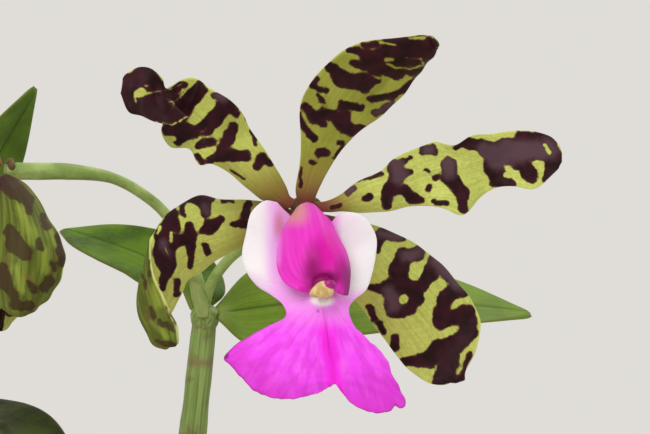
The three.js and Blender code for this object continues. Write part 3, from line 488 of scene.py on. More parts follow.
def blobs(places, ellipses):
    """The strongest of several ellipses, each with its own strength."""
    return np.max([strength * blob(places, *ellipse) for strength, ellipse in ellipses], axis=0)


def faded(places, fades):
    """What each of the named fades is at the places."""
    return {name: smooth(start, end, places[:, axis]) for name, (axis, start, end) in fades.items()}


def ripples(waves, a, b):
    """Waves over two values, added up. Each has its height, how fast it runs with the one value
    and with the other, and its phase."""
    return sum(height * np.sin(run_a * a + run_b * b + phase) for height, run_a, run_b, phase in waves)


# Curves and meshes
BLADE_TIP = 0.03
BLADE_FOOT = 0.01
MARGIN_ROUNDING = 7
MARGIN_THINNING = 1.5


def curve_through(points, t, even=True):
    """Catmull-Rom points at t, counted in control points. An even curve has uniform knots,
    and any other has centripetal ones."""
    points = np.asarray(points, float)
    ends = [2 * points[0] - points[1], 2 * points[-1] - points[-2]]
    padded = np.vstack([ends[0], points, ends[1]])
    index = np.minimum(np.floor(t).astype(int), len(points) - 2)
    w = (t - index)[:, None]
    p0, p1, p2, p3 = (padded[index + k] for k in range(4))
    if even:
        m1, m2 = 0.5 * (p2 - p0), 0.5 * (p3 - p1)
    else:
        d0, d1, d2 = (
            np.sqrt(np.linalg.norm(b - a, axis=1, keepdims=True))
            for a, b in ((p0, p1), (p1, p2), (p2, p3))
        )
        m1 = d1 * ((p1 - p0) / d0 - (p2 - p0) / (d0 + d1) + (p2 - p1) / d1)
        m2 = d1 * ((p2 - p1) / d1 - (p3 - p1) / (d1 + d2) + (p3 - p2) / d2)
    return (
        p1 + m1 * w + (3 * (p2 - p1) - 2 * m1 - m2) * w**2 + (2 * (p1 - p2) + m1 + m2) * w**3
    )


def blade(ribs, thickness, along_steps, across_steps, lift=None):
    """A closed blade between three rails. Both faces share their margin, where it thins out.
    Returns points, quads, and per point u (base to tip), v (left to right) and side (0 front,
    1 back)."""
    u = np.linspace(0, 1, along_steps + 1)
    v = np.sin(np.linspace(-0.5, 0.5, across_steps + 1) * math.pi)
    rails = [curve_through([rib[k] for rib in ribs], u * (len(ribs) - 1)) for k in range(3)]
    left, middle, right = (rail[:, None] for rail in rails)
    v_row = v[None, :, None]
    sheet = middle + 0.5 * (right - left) * v_row + (0.5 * (right + left) - middle) * v_row**2
    back = unit(np.cross(np.gradient(sheet, axis=0), np.gradient(sheet, axis=1)))
    u_grid, v_grid = np.meshgrid(u, v, indexing="ij")
    if lift is not None:
        sheet = sheet - back * lift(u_grid, v_grid)[..., None]
    ends = dome((u_grid - 1 + BLADE_TIP) / BLADE_TIP) * dome((BLADE_FOOT - u_grid) / BLADE_FOOT)
    half = 0.5 * (thickness[0] + (thickness[1] - thickness[0]) * np.abs(v_grid) ** MARGIN_THINNING)
    half = (half * dome(np.abs(v_grid) ** MARGIN_ROUNDING) * ends)[..., None]
    front = np.arange(u_grid.size).reshape(u_grid.shape)
    rear = front.copy()
    inner = front[1:-1, 1:-1]
    rear[1:-1, 1:-1] = front.size + np.arange(inner.size).reshape(inner.shape)
    points = np.vstack([
        (sheet - back * half).reshape(-1, 3), (sheet + back * half)[1:-1, 1:-1].reshape(-1, 3),
    ])
    quads = np.vstack([
        np.stack([front[:-1, :-1], front[:-1, 1:], front[1:, 1:], front[1:, :-1]], -1).reshape(-1, 4),
        np.stack([rear[:-1, :-1], rear[1:, :-1], rear[1:, 1:], rear[:-1, 1:]], -1).reshape(-1, 4),
    ])
    rim = np.full(u_grid.shape, 0.5)
    rim[1:-1, 1:-1] = 0
    faces = {"u": (u_grid, u_grid), "v": (v_grid, v_grid), "side": (rim, np.ones(u_grid.shape))}
    marks = {
        key: np.concatenate([ahead.ravel(), behind[1:-1, 1:-1].ravel()])
        for key, (ahead, behind) in faces.items()
    }
    return points, quads, marks


def close_rings(rings, first, last):
    """Points and faces of a solid with rings of points along it and one point at each end."""
    index = np.arange(rings[..., 0].size).reshape(rings.shape[:2])
    onward = np.roll(index, -1, axis=1)
    faces = np.stack([index[:-1], onward[:-1], onward[1:], index[1:]], -1).reshape(-1, 4).tolist()
    faces += [[index.size, b, a] for a, b in zip(index[0], onward[0])]
    faces += [[index.size + 1, a, b] for a, b in zip(index[-1], onward[-1])]
    return np.vstack([rings.reshape(-1, 3), first, last]), faces


def tube(path, radii, sides, steps, relief=None):
    """A closed tube with a radius at each point of its path. Relief is a factor on the radius
    from the share of the length and the angle. Marks are u along it and v around it."""
    t = np.linspace(0, 1, steps + 1)
    centre = curve_through(path, t * (len(path) - 1), even=False)
    tangent = unit(np.gradient(centre, axis=0))
    normal = at(0, 0, 1) if abs(tangent[0, 2]) < 0.9 else at(1, 0, 0)
    normals = []
    for direction in tangent:
        normal = unit(normal - direction * (normal @ direction))
        normals.append(normal)
    normals = np.array(normals)
    binormals = np.cross(tangent, normals)
    turn = np.arange(sides) / sides
    t_grid, turn_grid = np.meshgrid(t, turn, indexing="ij")
    angle = turn_grid * 2 * math.pi
    radius = np.interp(t_grid * (len(radii) - 1), np.arange(len(radii)), radii)
    if relief is not None:
        radius = radius * relief(t_grid, angle)
    rings = (
        normals[:, None] * (radius * np.cos(angle))[..., None]
        + binormals[:, None] * (radius * np.sin(angle))[..., None]
    )
    points, faces = close_rings(centre[:, None] + rings, centre[0], centre[-1])
    marks = {"u": np.append(t_grid.ravel(), [0, 1]), "v": np.append(turn_grid.ravel(), [0, 0])}
    return points, faces, marks


def lathe(profile, sides):
    """A closed solid turned round Z from a profile that starts and ends on the axis."""
    profile = np.array(profile, float)
    angle = np.arange(sides) * 2 * math.pi / sides
    radius, height = np.moveaxis(profile[1:-1, None], -1, 0)
    rings = np.stack([radius * np.cos(angle), radius * np.sin(angle), height + 0 * angle], -1)
    return close_rings(rings, at(0, 0, profile[0, 1]), at(0, 0, profile[-1, 1]))


def ball(size, rings=24, sides=36):
    """A closed ellipsoid round the origin, with its poles up and down."""
    rise = np.linspace(math.pi, 0, rings + 1)
    points, faces = lathe(np.stack([np.sin(rise), np.cos(rise)], -1), sides)
    return points * size, faces


def together(parts):
    """One mesh of several, each with points, faces and marks."""
    points, faces, marks, start = [], [], [], 0
    for part_points, part_faces, part_marks in parts:
        points.append(part_points)
        faces += [[start + int(k) for k in face] for face in part_faces]
        marks.append(part_marks)
        start += len(part_points)
    return np.vstack(points), faces, {key: np.concatenate([m[key] for m in marks]) for key in marks[0]}


def make_mesh(name, points, faces, marks=None):
    mesh = bpy.data.meshes.new(name)
    mesh.from_pydata((np.asarray(points) * MM).tolist(), [], [list(map(int, face)) for face in faces])
    shade_smooth(mesh)
    for key, values in (marks or {}).items():
        attribute = mesh.attributes.new(key, "FLOAT", "POINT")
        attribute.data.foreach_set("value", np.asarray(values, np.float32))
    mesh.update()
    made = bpy.data.objects.new(name, mesh)
    bpy.context.scene.collection.objects.link(made)
    return made


def shade_smooth(mesh):
    mesh.polygons.foreach_set("use_smooth", np.ones(len(mesh.polygons), bool))


def show(piece, look, slot, *nodes):
    """Dresses a piece, seats it on the CAD model and lets it stand for the nodes."""
    piece.data.materials.clear()
    piece.data.materials.append(MATERIALS[look])
    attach(piece, "root")
    if nodes:
        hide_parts(*nodes)


def boolean(piece, other, operation):
    """Joins a piece with another mesh, or cuts it by that mesh, which is used up."""
    modifier = piece.modifiers.new(operation, "BOOLEAN")
    modifier.operation = operation
    modifier.object = other
    modifier.solver = "EXACT"
    evaluated = piece.evaluated_get(bpy.context.evaluated_depsgraph_get())
    piece.data = bpy.data.meshes.new_from_object(evaluated)
    piece.modifiers.clear()
    bpy.data.objects.remove(other)
    shade_smooth(piece.data)


# Materials
FLESH_RADIUS = (0.0005, 0.0003, 0.0002)
BLOTCH_SLOW = 1.6
BLOTCH_RAGGED = 3.0


def srgb(red, green, blue):
    channels = []
    for value in (red, green, blue):
        share = value / 255
        channels.append(share / 12.92 if share <= 0.04045 else ((share + 0.055) / 1.055) ** 2.4)
    return (*channels, 1.0)


class Paint:
    """The node tree of one material, put together from small steps. A tone is red, green and
    blue up to 255, a mask runs from 0 to 1, and noise is finer the more waves it has per mm."""

    def __init__(self, name, roughness, flesh=0.0, **constants):
        self.material = bpy.data.materials.new(name)
        self.material.use_nodes = True
        self.nodes = self.material.node_tree.nodes
        self.links = self.material.node_tree.links
        self.shader = self.nodes["Principled BSDF"]
        constants["Roughness"] = roughness
        if flesh:
            constants["Subsurface_Weight"] = flesh
            constants["Subsurface_Radius"] = FLESH_RADIUS
            constants["Subsurface_Scale"] = 1.0
        for socket, value in constants.items():
            self.shader.inputs[socket.replace("_", " ")].default_value = value

    def plug(self, socket, value):
        if isinstance(value, bpy.types.NodeSocket):
            self.links.new(value, socket)
        else:
            socket.default_value = value

    def node(self, kind, inputs=None, output=0, **settings):
        """One output of a new node, whose inputs have values or the outputs of other nodes."""
        made = self.nodes.new(kind)
        for key, value in settings.items():
            setattr(made, key, value)
        for key, value in (inputs or {}).items():
            self.plug(made.inputs[key], value)
        return made.outputs[output]

    def mark(self, name):
        return self.node("ShaderNodeAttribute", output="Fac", attribute_name=name)

    def noise(self, per_mm, detail, stretch=None, distortion=0.0):
        place = self.node("ShaderNodeTexCoord", output="Object")
        if stretch is not None:
            place = self.node("ShaderNodeMapping", {"Vector": place, "Scale": stretch})
        inputs = {"Vector": place, "Scale": per_mm / MM, "Detail": detail, "Distortion": distortion}
        return self.node("ShaderNodeTexNoise", inputs, "Fac")

    def math(self, operation, a, b=0.0, c=0.0):
        return self.node("ShaderNodeMath", {0: a, 1: b, 2: c}, operation=operation)

    def times(self, a, b):
        return self.math("MULTIPLY", a, b)

    def add_scaled(self, base, value, factor):
        return self.math("MULTIPLY_ADD", value, factor, base)

    def band(self, value, low, high, to_low=0.0, to_high=1.0):
        """A smooth step from one limit at low to the other at high."""
        inputs = dict(enumerate((value, low, high, to_low, to_high)))
        return self.node("ShaderNodeMapRange", inputs, interpolation_type="SMOOTHSTEP")

    def cloud(self, per_mm, detail, low=0.35, high=0.65, **shape):
        return self.band(self.noise(per_mm, detail, **shape), low, high)

    def lines(self, along_scale, across_scale, detail, low=0.35, high=0.65, along="u", across="v"):
        """Streaks laid out by two marks, which are u and v of a blade or tube unless named."""
        place = self.node("ShaderNodeCombineXYZ", {
            "X": self.times(self.mark(along), along_scale),
            "Y": self.times(self.mark(across), across_scale),
        })
        inputs = {"Vector": place, "Scale": 1.0, "Detail": detail}
        return self.band(self.node("ShaderNodeTexNoise", inputs, "Fac"), low, high)

    def mix(self, factor, under, over):
        under, over = (srgb(*tone) if isinstance(tone, tuple) else tone for tone in (under, over))
        return self.node("ShaderNodeMix", {0: factor, 6: under, 7: over}, 2, data_type="RGBA")

    def coat(self, color, *layers):
        """The colour under layers, each with a mask or the name of a mark, a share and a tone."""
        for mask, share, tone in layers:
            mask = self.mark(mask) if isinstance(mask, str) else mask
            color = self.mix(mask if share == 1 else self.times(mask, share), color, tone)
        return color

    def finish(self, color, relief=None, depth_mm=0.0, strength=0.5):
        """The material in this colour, with a fine relief in its shading."""
        self.plug(self.shader.inputs["Base Color"], color)
        if relief is not None:
            inputs = {"Height": relief, "Distance": depth_mm * MM, "Strength": strength}
            self.plug(self.shader.inputs["Normal"], self.node("ShaderNodeBump", inputs))
        return self.material


def tepal_material():
    paint = Paint("spotted_tepal", 0.46, Specular_IOR_Level=0.1)
    u, side = paint.mark("u"), paint.mark("side")
    off_middle = paint.math("ABSOLUTE", paint.mark("v"))
    back = paint.band(side, 0.35, 0.75)
    # Yellow green with olive places, brownish pink at the claw, fine veins and a bright margin
    veins = paint.lines(3, 26, 2, 0.42, 0.62)
    color = paint.coat(
        paint.mix(paint.cloud(0.16, 3, 0.36, 0.64), (146, 152, 54), (172, 178, 74)),
        ("pale", 1, (220, 230, 122)),
        (paint.cloud(1.3, 3, 0.3, 0.7), 0.3, (152, 150, 62)),
        (paint.band(u, 0.26, 0.1), 1, (156, 142, 66)),
        (paint.band(u, 0.17, 0.03), 1, (126, 66, 58)),
        (veins, 0.22, (116, 116, 42)),
        (paint.band(off_middle, 0.96, 0.99), 0.4, (206, 208, 128)),
    )
    # The back is olive, streaked lengthwise with brighter and browner bands
    streaks = paint.lines(3, 7, 3, 0.4, 0.62)
    glow = paint.add_scaled(paint.mark("back_streak"), paint.math("SUBTRACT", streaks, 0.5), 3)
    reverse = paint.coat(
        paint.mix(streaks, (82, 92, 32), (108, 120, 42)),
        (paint.cloud(0.3, 3, 0.54, 0.7), 0.45, (122, 98, 48)),
        (paint.band(glow, -4, 4), 0.75, (144, 158, 60)),
        (paint.band(off_middle, 0.94, 0.985), 0.85, (206, 212, 134)),
        (paint.band(u, 0.2, 0.04), 0.8, (96, 58, 46)),
    )
    # Dark blotches with mauve places of painted sheen and slightly ragged, browner edges, faint on the back
    slow = paint.math("SUBTRACT", paint.noise(0.4, 2), 0.5)
    ragged = paint.math("SUBTRACT", paint.noise(0.9, 2, distortion=0.3), 0.5)
    edge = paint.add_scaled(paint.mark("blotch"), slow, BLOTCH_SLOW)
    edge = paint.add_scaled(edge, ragged, BLOTCH_RAGGED)
    blotch = paint.band(edge, -0.7, 0.7)
    dark = paint.coat(
        paint.mix(paint.cloud(0.35, 3, 0.3, 0.7), (32, 12, 13), (56, 18, 28)),
        # Painted sheen: mauve places in the dark blotches
        (paint.band(paint.add_scaled(paint.mark("sheen_veil"), slow, 10), -5, 5), 0.75, (99, 73, 82)),
        (paint.band(edge, 2, 0.2), 0.45, (92, 50, 40)),
    )
    spot_edge = paint.add_scaled(paint.add_scaled(paint.mark("back_spot"), slow, 5), ragged, 4)
    color = paint.coat(
        paint.mix(back, color, reverse),
        (paint.times(blotch, paint.band(side, 0.9, 0.6)), 1, dark),
        (paint.times(blotch, back), 0.3, (74, 64, 34)),
        (paint.times(paint.band(spot_edge, -1.2, 1), back), 0.8, (60, 38, 28)),
    )
    return paint.finish(color, paint.add_scaled(paint.noise(2.4, 2), veins, -0.5), 0.05)


def lip_material():
    paint = Paint("magenta_lip", 0.55, flesh=0.15, Specular_IOR_Level=0.2, Sheen_Weight=0.08)
    veins = paint.lines(0.7, 9, 2, 0.44, 0.6, along="reach", across="ray")
    pale_veins = paint.lines(0.6, 14, 2, 0.5, 0.36, along="reach", across="ray")
    color = paint.coat(
        paint.mix(paint.cloud(0.35, 3), (249, 74, 255), (253, 94, 255)),
        ("far", 1, (235, 60, 229)),
        (veins, 0.42, (214, 42, 206)),
        (pale_veins, 0.12, (255, 128, 255)),
        ("midline", 0.85, (252, 24, 234)),
        ("thread", 0.6, (178, 12, 130)),
        ("margin", 0.75, (178, 40, 154)),
        ("blush", 0.75, (255, 168, 255)),
        ("white", 1, (248, 245, 249)),
        ("lilac", 1, (240, 182, 246)),
        ("rose", 0.7, (214, 122, 146)),
        ("callus", 1, (255, 252, 246)),
        ("dot", 0.8, (120, 20, 104)),
    )
    return paint.finish(color, paint.add_scaled(paint.noise(3, 2), veins, -0.6), 0.08, 0.7)


def column_material():
    paint = Paint("magenta_column", 0.45, flesh=0.1, Specular_IOR_Level=0.16)
    color = paint.coat(
        paint.mix(paint.lines(1.6, 9, 3), (234, 48, 196), (240, 66, 208)),
        ("hot", 1, (224, 14, 170)),
        ("deep", 1, (172, 18, 126)),
        # Painted shade in the hollow round the anther cap's top
        ("hollow", 1, (140, 10, 96)),
        ("top", 1, (220, 150, 150)),
        ("lilac_rim", 0.8, (244, 128, 240)),
        ("purple_rim", 1, (150, 48, 124)),
    )
    return paint.finish(color, paint.noise(2, 3), 0.05)


def tongue_material():
    paint = Paint("magenta_tongue", 0.35, Specular_IOR_Level=0.4)
    return paint.finish(paint.mix(paint.cloud(0.9, 3), (150, 8, 110), (184, 20, 144)))


def anther_material():
    paint = Paint("pale_anther", 0.45, flesh=0.1)
    color = paint.mix(paint.cloud(0.9, 3), (200, 164, 98), (226, 200, 138))
    return paint.finish(color, paint.noise(2.2, 2), 0.05)


def leaf_material(name, deep_tone, light_tone, speck_tone):
    paint = Paint(name, 0.45, Specular_IOR_Level=0.1)
    off_middle = paint.math("ABSOLUTE", paint.mark("v"))
    veins = paint.lines(1.5, 30, 2, 0.44, 0.6)
    color = paint.coat(
        paint.mix(paint.cloud(0.09, 4, 0.34, 0.66), deep_tone, light_tone),
        ("pale", 1, (148, 176, 72)),
        (paint.cloud(1, 4, 0.5, 0.72), 0.35, speck_tone),
        (veins, 0.2, (48, 72, 18)),
        (paint.band(off_middle, 0.07, 0.01), 0.5, (48, 72, 18)),
        (paint.band(paint.mark("u"), 0.1, 0), 1, (122, 142, 60)),
        (paint.band(off_middle, 0.96, 0.99), 0.5, (120, 112, 60)),
        (paint.band(paint.mark("side"), 0.35, 0.75), 0.55, (116, 142, 64)),
    )
    roughness = paint.band(paint.noise(0.4, 3), 0.3, 0.7, 0.32, 0.46)
    paint.plug(paint.shader.inputs["Roughness"], roughness)
    return paint.finish(color, paint.add_scaled(paint.noise(1.6, 3), veins, -0.5), 0.08)


def bulb_material():
    paint = Paint("furrowed_pseudobulb", 0.5)
    streak = paint.lines(5, 34, 3)
    color = paint.coat(
        paint.mix(streak, (104, 134, 54), (146, 170, 88)),
        (paint.cloud(0.25, 4, 0.5, 0.7), 0.6, (112, 92, 52)),
        ("ring", 0.85, (134, 116, 76)),
    )
    return paint.finish(color, streak, 0.12, 0.6)


def dry_sheath_material():
    paint = Paint("papery_sheath", 0.7)
    fibre = paint.lines(2, 60, 4)
    color = paint.coat(
        paint.mix(fibre, (176, 162, 128), (222, 212, 184)),
        (paint.cloud(0.4, 4, 0.48, 0.7), 0.7, (134, 106, 74)),
    )
    return paint.finish(color, fibre, 0.12, 0.8)


def shoot_material():
    paint = Paint("green_shoot", 0.5)
    fibre = paint.lines(3, 30, 3)
    color = paint.coat(
        paint.mix(fibre, (126, 150, 70), (172, 188, 108)),
        (paint.band(paint.mark("u"), 0.8, 1), 0.6, (142, 104, 70)),
    )
    return paint.finish(color, fibre, 0.08, 0.6)


def stalk_material():
    paint = Paint("green_stalk", 0.42, flesh=0.1)
    color = paint.coat(
        paint.mix(paint.cloud(0.2, 3), (128, 155, 72), (166, 190, 104)),
        (paint.cloud(1.4, 3, 0.6, 0.72), 0.5, (120, 96, 60)),
    )
    return paint.finish(color, paint.noise(1.2, 3), 0.08)


def knob_material():
    paint = Paint("ovary_top", 0.5, Specular_IOR_Level=0.2)
    color = paint.mix(paint.cloud(0.5, 3), (112, 70, 52), (108, 98, 52))
    return paint.finish(color, paint.noise(1.6, 3), 0.1)


def root_material():
    paint = Paint("velamen_root", 0.75)
    color = paint.coat(
        paint.mix(paint.cloud(0.35, 4), (150, 148, 124), (214, 212, 196)),
        (paint.cloud(0.9, 4, 0.52, 0.68), 0.6, (118, 112, 84)),
    )
    return paint.finish(color, paint.noise(1.2, 5), 0.25, 0.8)


def rhizome_material():
    paint = Paint("scaly_rhizome", 0.7)
    scale = paint.lines(60, 3, 3, 0.45, 0.6)
    color = paint.coat(
        paint.mix(paint.cloud(0.3, 4), (112, 100, 66), (158, 146, 104)),
        (scale, 0.6, (92, 74, 50)),
    )
    return paint.finish(color, scale, 0.3, 0.8)


def bark_material():
    paint = Paint("fir_bark", 0.85)
    color = paint.coat(
        paint.mix(paint.mark("tone"), (74, 50, 36), (140, 98, 66)),
        (paint.cloud(0.5, 5, 0.4, 0.62, stretch=(1, 1, 4)), 0.7, (52, 34, 26)),
        (paint.cloud(1.6, 4, 0.58, 0.7), 0.6, (176, 130, 88)),
    )
    return paint.finish(color, paint.noise(0.9, 6), 0.5, 1)


def clay_material():
    paint = Paint("terracotta", 0.85)
    turning = paint.cloud(0.05, 4, stretch=(0.4, 0.4, 14))
    color = paint.coat(
        paint.mix(paint.cloud(0.03, 5, 0.34, 0.66), (176, 96, 62), (200, 122, 84)),
        (turning, 0.3, (158, 84, 54)),
        (paint.cloud(0.035, 8, 0.53, 0.72, distortion=0.6), 0.5, (222, 190, 166)),
        (paint.cloud(1.6, 3, 0.6, 0.72), 0.35, (126, 66, 44)),
    )
    return paint.finish(color, paint.add_scaled(paint.noise(0.9, 5), turning, 0.6), 0.25, 0.7)


MATERIALS = {
    "tepal": tepal_material(),
    "lip": lip_material(),
    "column": column_material(),
    "tongue": tongue_material(),
    "anther": anther_material(),
    "leaf": leaf_material("fleshy_leaf", (60, 90, 8), (98, 132, 20), (104, 132, 38)),
    # A darkened copy of the leaf material: painted shade for a leaf that lies in deep shade
    "shade_darkened_leaf": leaf_material("shade_darkened_leaf", (40, 46, 14), (62, 72, 22), (70, 76, 30)),
    "bulb": bulb_material(),
    "dry_sheath": dry_sheath_material(),
    "shoot": shoot_material(),
    "stalk": stalk_material(),
    "knob": knob_material(),
    "root": root_material(),
    "rhizome": rhizome_material(),
    "bark": bark_material(),
    "clay": clay_material(),
}


# Blotches: how far inside the brush strokes each point of a segment lies, in squares
FIELD_LIMIT = 8
STROKE_MELT = 1.5
OPENING_MELT = 0.6
STROKE_WAVES = (
    [(0.5, 0.21, 0.33, 0), (0.4, -0.19, 0.47, 1)],
    [(0.5, 0.29, -0.24, 2), (0.4, 0.41, 0.13, 0)],
)


def stroke_depth(places, strokes, melt):
    """Strokes that lie close together melt into one, over about the given distance."""
    total = np.full(len(places), math.exp(-FIELD_LIMIT / melt))
    for stroke in strokes:
        stations = np.reshape(stroke, (-1, 3))
        for (*start, r1), (*end, r2) in zip(stations, stations[1:]):
            run = np.subtract(end, start)
            t = np.clip((places - start) @ run / max(run @ run, 1e-6), 0, 1)
            distance = np.linalg.norm(places - start - t[:, None] * run, axis=1)
            depth = np.clip(r1 + (r2 - r1) * t - distance, -FIELD_LIMIT, FIELD_LIMIT)
            total += np.exp(depth / melt)
    return np.clip(melt * np.log(total), -FIELD_LIMIT, FIELD_LIMIT)


def wandering(places):
    """Places shifted a little, in slow waves, so that no stroke stays straight."""
    return places + np.stack([ripples(waves, *places.T) for waves in STROKE_WAVES], -1)


def blotch_marks(places, name):
    dark = stroke_depth(wandering(places), BLOTCHES[name], STROKE_MELT)
    bright = stroke_depth(places, OPENINGS.get(name, []), OPENING_MELT)
    return {
        "blotch": np.minimum(dark, -bright),
        "pale": np.full(len(places), PALENESS[name]),
        # Painted sheen: the mauve places in the blotches
        "sheen_veil": stroke_depth(places, SHEEN_VEILS.get(name, []), STROKE_MELT),
        "back_spot": stroke_depth(wandering(places), BACK_SPOTS.get(name, []), OPENING_MELT),
        "back_streak": stroke_depth(places, BACK_STREAKS.get(name, []), STROKE_MELT),
    }


# Blooms
TEPAL_STEPS = {"front_bloom": (180, 64), "side_bloom": (110, 44)}
LIP_STEPS = {"front_bloom": (200, 110), "side_bloom": (100, 60)}
COLUMN_STEPS = (90, 48)
CAP_LINK_STEPS = (28, 20)
TEPAL_WAVES = [(0.16, 46, 1.3, 0)]
TEPAL_GROOVE_DEPTH = 0.12
TEPAL_GROOVE_WIDTH = 0.09
LIP_FRILLS = [(0.13, 70, 5, 0), (0.13, 113, -3, 0)]
LIP_RIDGE_HEIGHT = 0.22
LIP_RIDGE_PLACE = 0.13
LIP_CLEFT_DEPTH = 0.25
LIP_FOLD_WIDTH = 0.05
HOOD_FURROWS = 6
HOOD_FURROW_DEPTH = 0.07
HOOD_HOLLOW_DEPTH = 1.1
HOOD_HOLLOW_PLACE = 0.93
HOOD_HOLLOW_SPREAD = (0.13, 0.32)
HOOD_DROP_SOFTNESS = 0.8
CALLUS_RISE = 0.9
CALLUS_SOFTNESS = 0.6
LIP_NICK_PLACE = (395, 409)
LIP_NICK_SPREAD = (2.4, 5)
LIP_NICK_DEPTH = 0.7
LIP_SCALLOPS = [(0.06, 0.55, 0.3, 0), (0.036, 1.1, -0.7, 0)]
CAP_SQUARENESS = 0.8
CAP_NARROWING = 0.36
CAP_LEAN = 0.18


class Bloom:
    """Places of one bloom: its own frame has the seat of the segments as origin."""

    def __init__(self, name, seat, turn=0.0, mirrored=False, spread=1.0, raised=0.0, closed=0.0):
        self.name = name
        self.seat = on_sheet(seat)
        self.turn = turned("z", turn)
        self.mirror = np.array([-1.0 if mirrored else 1.0, 1.0, 1.0])
        self.spread = spread
        self.raised = math.radians(raised)
        self.closed = math.radians(closed)

    def from_sheet(self, points):
        return (points - on_sheet(BLOOM_SEAT)) * self.mirror

    def place(self, points, claw=None, petal=False):
        """Points drawn on the sheet, moved to where this bloom has them."""
        local = self.from_sheet(points)
        if claw is not None:
            hinge = self.from_sheet(on_sheet(claw))
            local = local - hinge
            if petal:
                side = -np.sign(hinge[0])
                swing = turned("y", side * self.raised) @ turned("z", side * self.closed)
                local = local @ swing.T
            local = local + hinge * self.spread
        return to_room(local @ self.turn.T + self.seat)

    def make(self, name, shape, look, slot, *nodes, **hinge):
        """A piece of this bloom from a shape on the sheet: its points, faces and marks."""
        points, faces, marks = shape
        if self.mirror[0] < 0:
            faces = [face[::-1] for face in faces]
        piece = make_mesh(f"{self.name}_{name}", self.place(points, **hinge), faces, marks)
        show(piece, look, slot, *(f"{self.name}_{node}" for node in nodes))


FRONT = Bloom("front_bloom", BLOOM_SEAT)
SIDE = Bloom("side_bloom", SIDE_BLOOM_SEAT, SIDE_BLOOM_TURN, mirrored=True, spread=1.05,
             raised=12, closed=38)


# Sepals and petals
def tepal_lift(u, v):
    """Slight waves in the margin and a shallow groove along the midrib, in mm."""
    wave = ripples(TEPAL_WAVES, u, np.sign(v)) * smooth(0.55, 1.0, np.abs(v)) * smooth(0.1, 0.3, u)
    groove = hill(v, TEPAL_GROOVE_WIDTH) * smooth(0.02, 0.1, u) * smooth(1.0, 0.8, u)
    return wave - TEPAL_GROOVE_DEPTH * groove


def tepal_shape(ribs, steps, name):
    points, quads, marks = blade(on_sheet(ribs), TEPAL_THICKNESS, *steps, tepal_lift)
    return points, quads, marks | blotch_marks(squares(points), name)


def make_tepal(bloom, name):
    shape = tepal_shape(TEPALS[name], TEPAL_STEPS[bloom.name], name)
    claw, petal = TEPALS[name][0][1], name.startswith("petal")
    bloom.make(f"{name}_fine", shape, "tepal", "tepal", name, claw=claw, petal=petal)


def make_hanging_sepal():
    """The side bloom's nearest sepal, with the same blotches on its back."""
    points, quads, marks = tepal_shape(HANGING_SEPAL, TEPAL_STEPS["side_bloom"], "hanging_sepal")
    marks["back_spot"] = marks["blotch"]
    sepal = make_mesh("side_bloom_lateral_sepal_left_fine", to_room(points), quads, marks)
    show(sepal, "tepal", "tepal", "side_bloom_lateral_sepal_left")


# Lips
def lip_lift(u, v):
    """Frilled margins and two low ridges beside a cleft towards the middle lobe, in mm."""
    frill = ripples(LIP_FRILLS, u, v) * smooth(0.84, 1.0, np.abs(v)) * smooth(0.5, 0.6, u)
    ridges = hill(np.abs(v) - LIP_RIDGE_PLACE, LIP_FOLD_WIDTH) * smooth(0.3, 0.45, u) * smooth(0.75, 0.6, u)
    cleft = hill(v, LIP_FOLD_WIDTH) * smooth(0.45, 0.6, u)
    return frill + LIP_RIDGE_HEIGHT * ridges - LIP_CLEFT_DEPTH * cleft


def finish_lip_shape(points, u, v):
    """Small scallops along the lip's margin, a nick that leaves a hook at its right corner, and
    the raised callus under the anther cap."""
    x, y = squares(points).T
    nick = hill(x - LIP_NICK_PLACE[0], LIP_NICK_SPREAD[0]) * hill(y - LIP_NICK_PLACE[1], LIP_NICK_SPREAD[1])
    scallops = ripples(LIP_SCALLOPS, x, y) * smooth(0.88, 1, np.abs(v)) * smooth(0.5, 0.6, u)
    forward = CALLUS_RISE * blob(squares(points), *CALLUS, CALLUS_SOFTNESS)
    return points + np.stack([0 * x, -forward, LIP_NICK_DEPTH * nick + scallops], -1)


def lip_marks(places, v):
    x, y = places.T
    away = np.hypot(x - VEIN_ORIGIN[0], y - VEIN_ORIGIN[1])
    off_midline = np.abs(x - MIDLINE_TOP[0] - (y - MIDLINE_TOP[1]) * MIDLINE_SLANT)
    fade = faded(places, LIP_FADES)
    lilac_sides = LILAC_SIDES * fade["lilac_left"] * fade["lilac_right"] * fade["lilac_above"]
    lilac_neck = LILAC_NECK * fade["neck_below"] * fade["neck_right"]
    return {
        "ray": np.arctan2(x - VEIN_ORIGIN[0], y - VEIN_ORIGIN[1]),
        "reach": away / REACH_UNIT,
        "far": smooth(*FAR_REACH, away),
        "rose": blob(places, *LIP_ROSE),
        "white": fade["side_lobes"] * np.maximum(fade["left_lobe"], fade["right_lobe"]),
        "lilac": np.maximum(lilac_sides, lilac_neck) * fade["lilac_foot"],
        "blush": fade["blush"],
        "midline": smooth(*MIDLINE_BAND, off_midline) * fade["midline"],
        "thread": smooth(*MIDLINE_THREAD, off_midline) * fade["thread_top"] * fade["thread_foot"],
        "margin": smooth(*LIP_MARGIN, np.abs(v)) * fade["margin"],
        "callus": blob(places, *CALLUS),
        "dot": blobs(places, LIP_DOTS),
    }


def make_lip(bloom):
    points, quads, marks = blade(on_sheet(LIP), LIP_THICKNESS, *LIP_STEPS[bloom.name], lip_lift)
    points = finish_lip_shape(points, marks["u"], marks["v"])
    marks |= lip_marks(squares(points), marks["v"])
    bloom.make("lip_fine", (points, quads, marks), "lip", "lip", "lip")


# Columns and anther caps
def column_lift(u, v):
    """Faint furrows down the hood, and the hollow under it, in mm."""
    furrows = np.cos(HOOD_FURROWS * math.pi * v) * smooth(0.0, 0.3, u) * smooth(1.0, 0.7, u)
    hollow = hill(u - HOOD_HOLLOW_PLACE, HOOD_HOLLOW_SPREAD[0]) * hill(v, HOOD_HOLLOW_SPREAD[1])
    return HOOD_FURROW_DEPTH * furrows - HOOD_HOLLOW_DEPTH * hollow


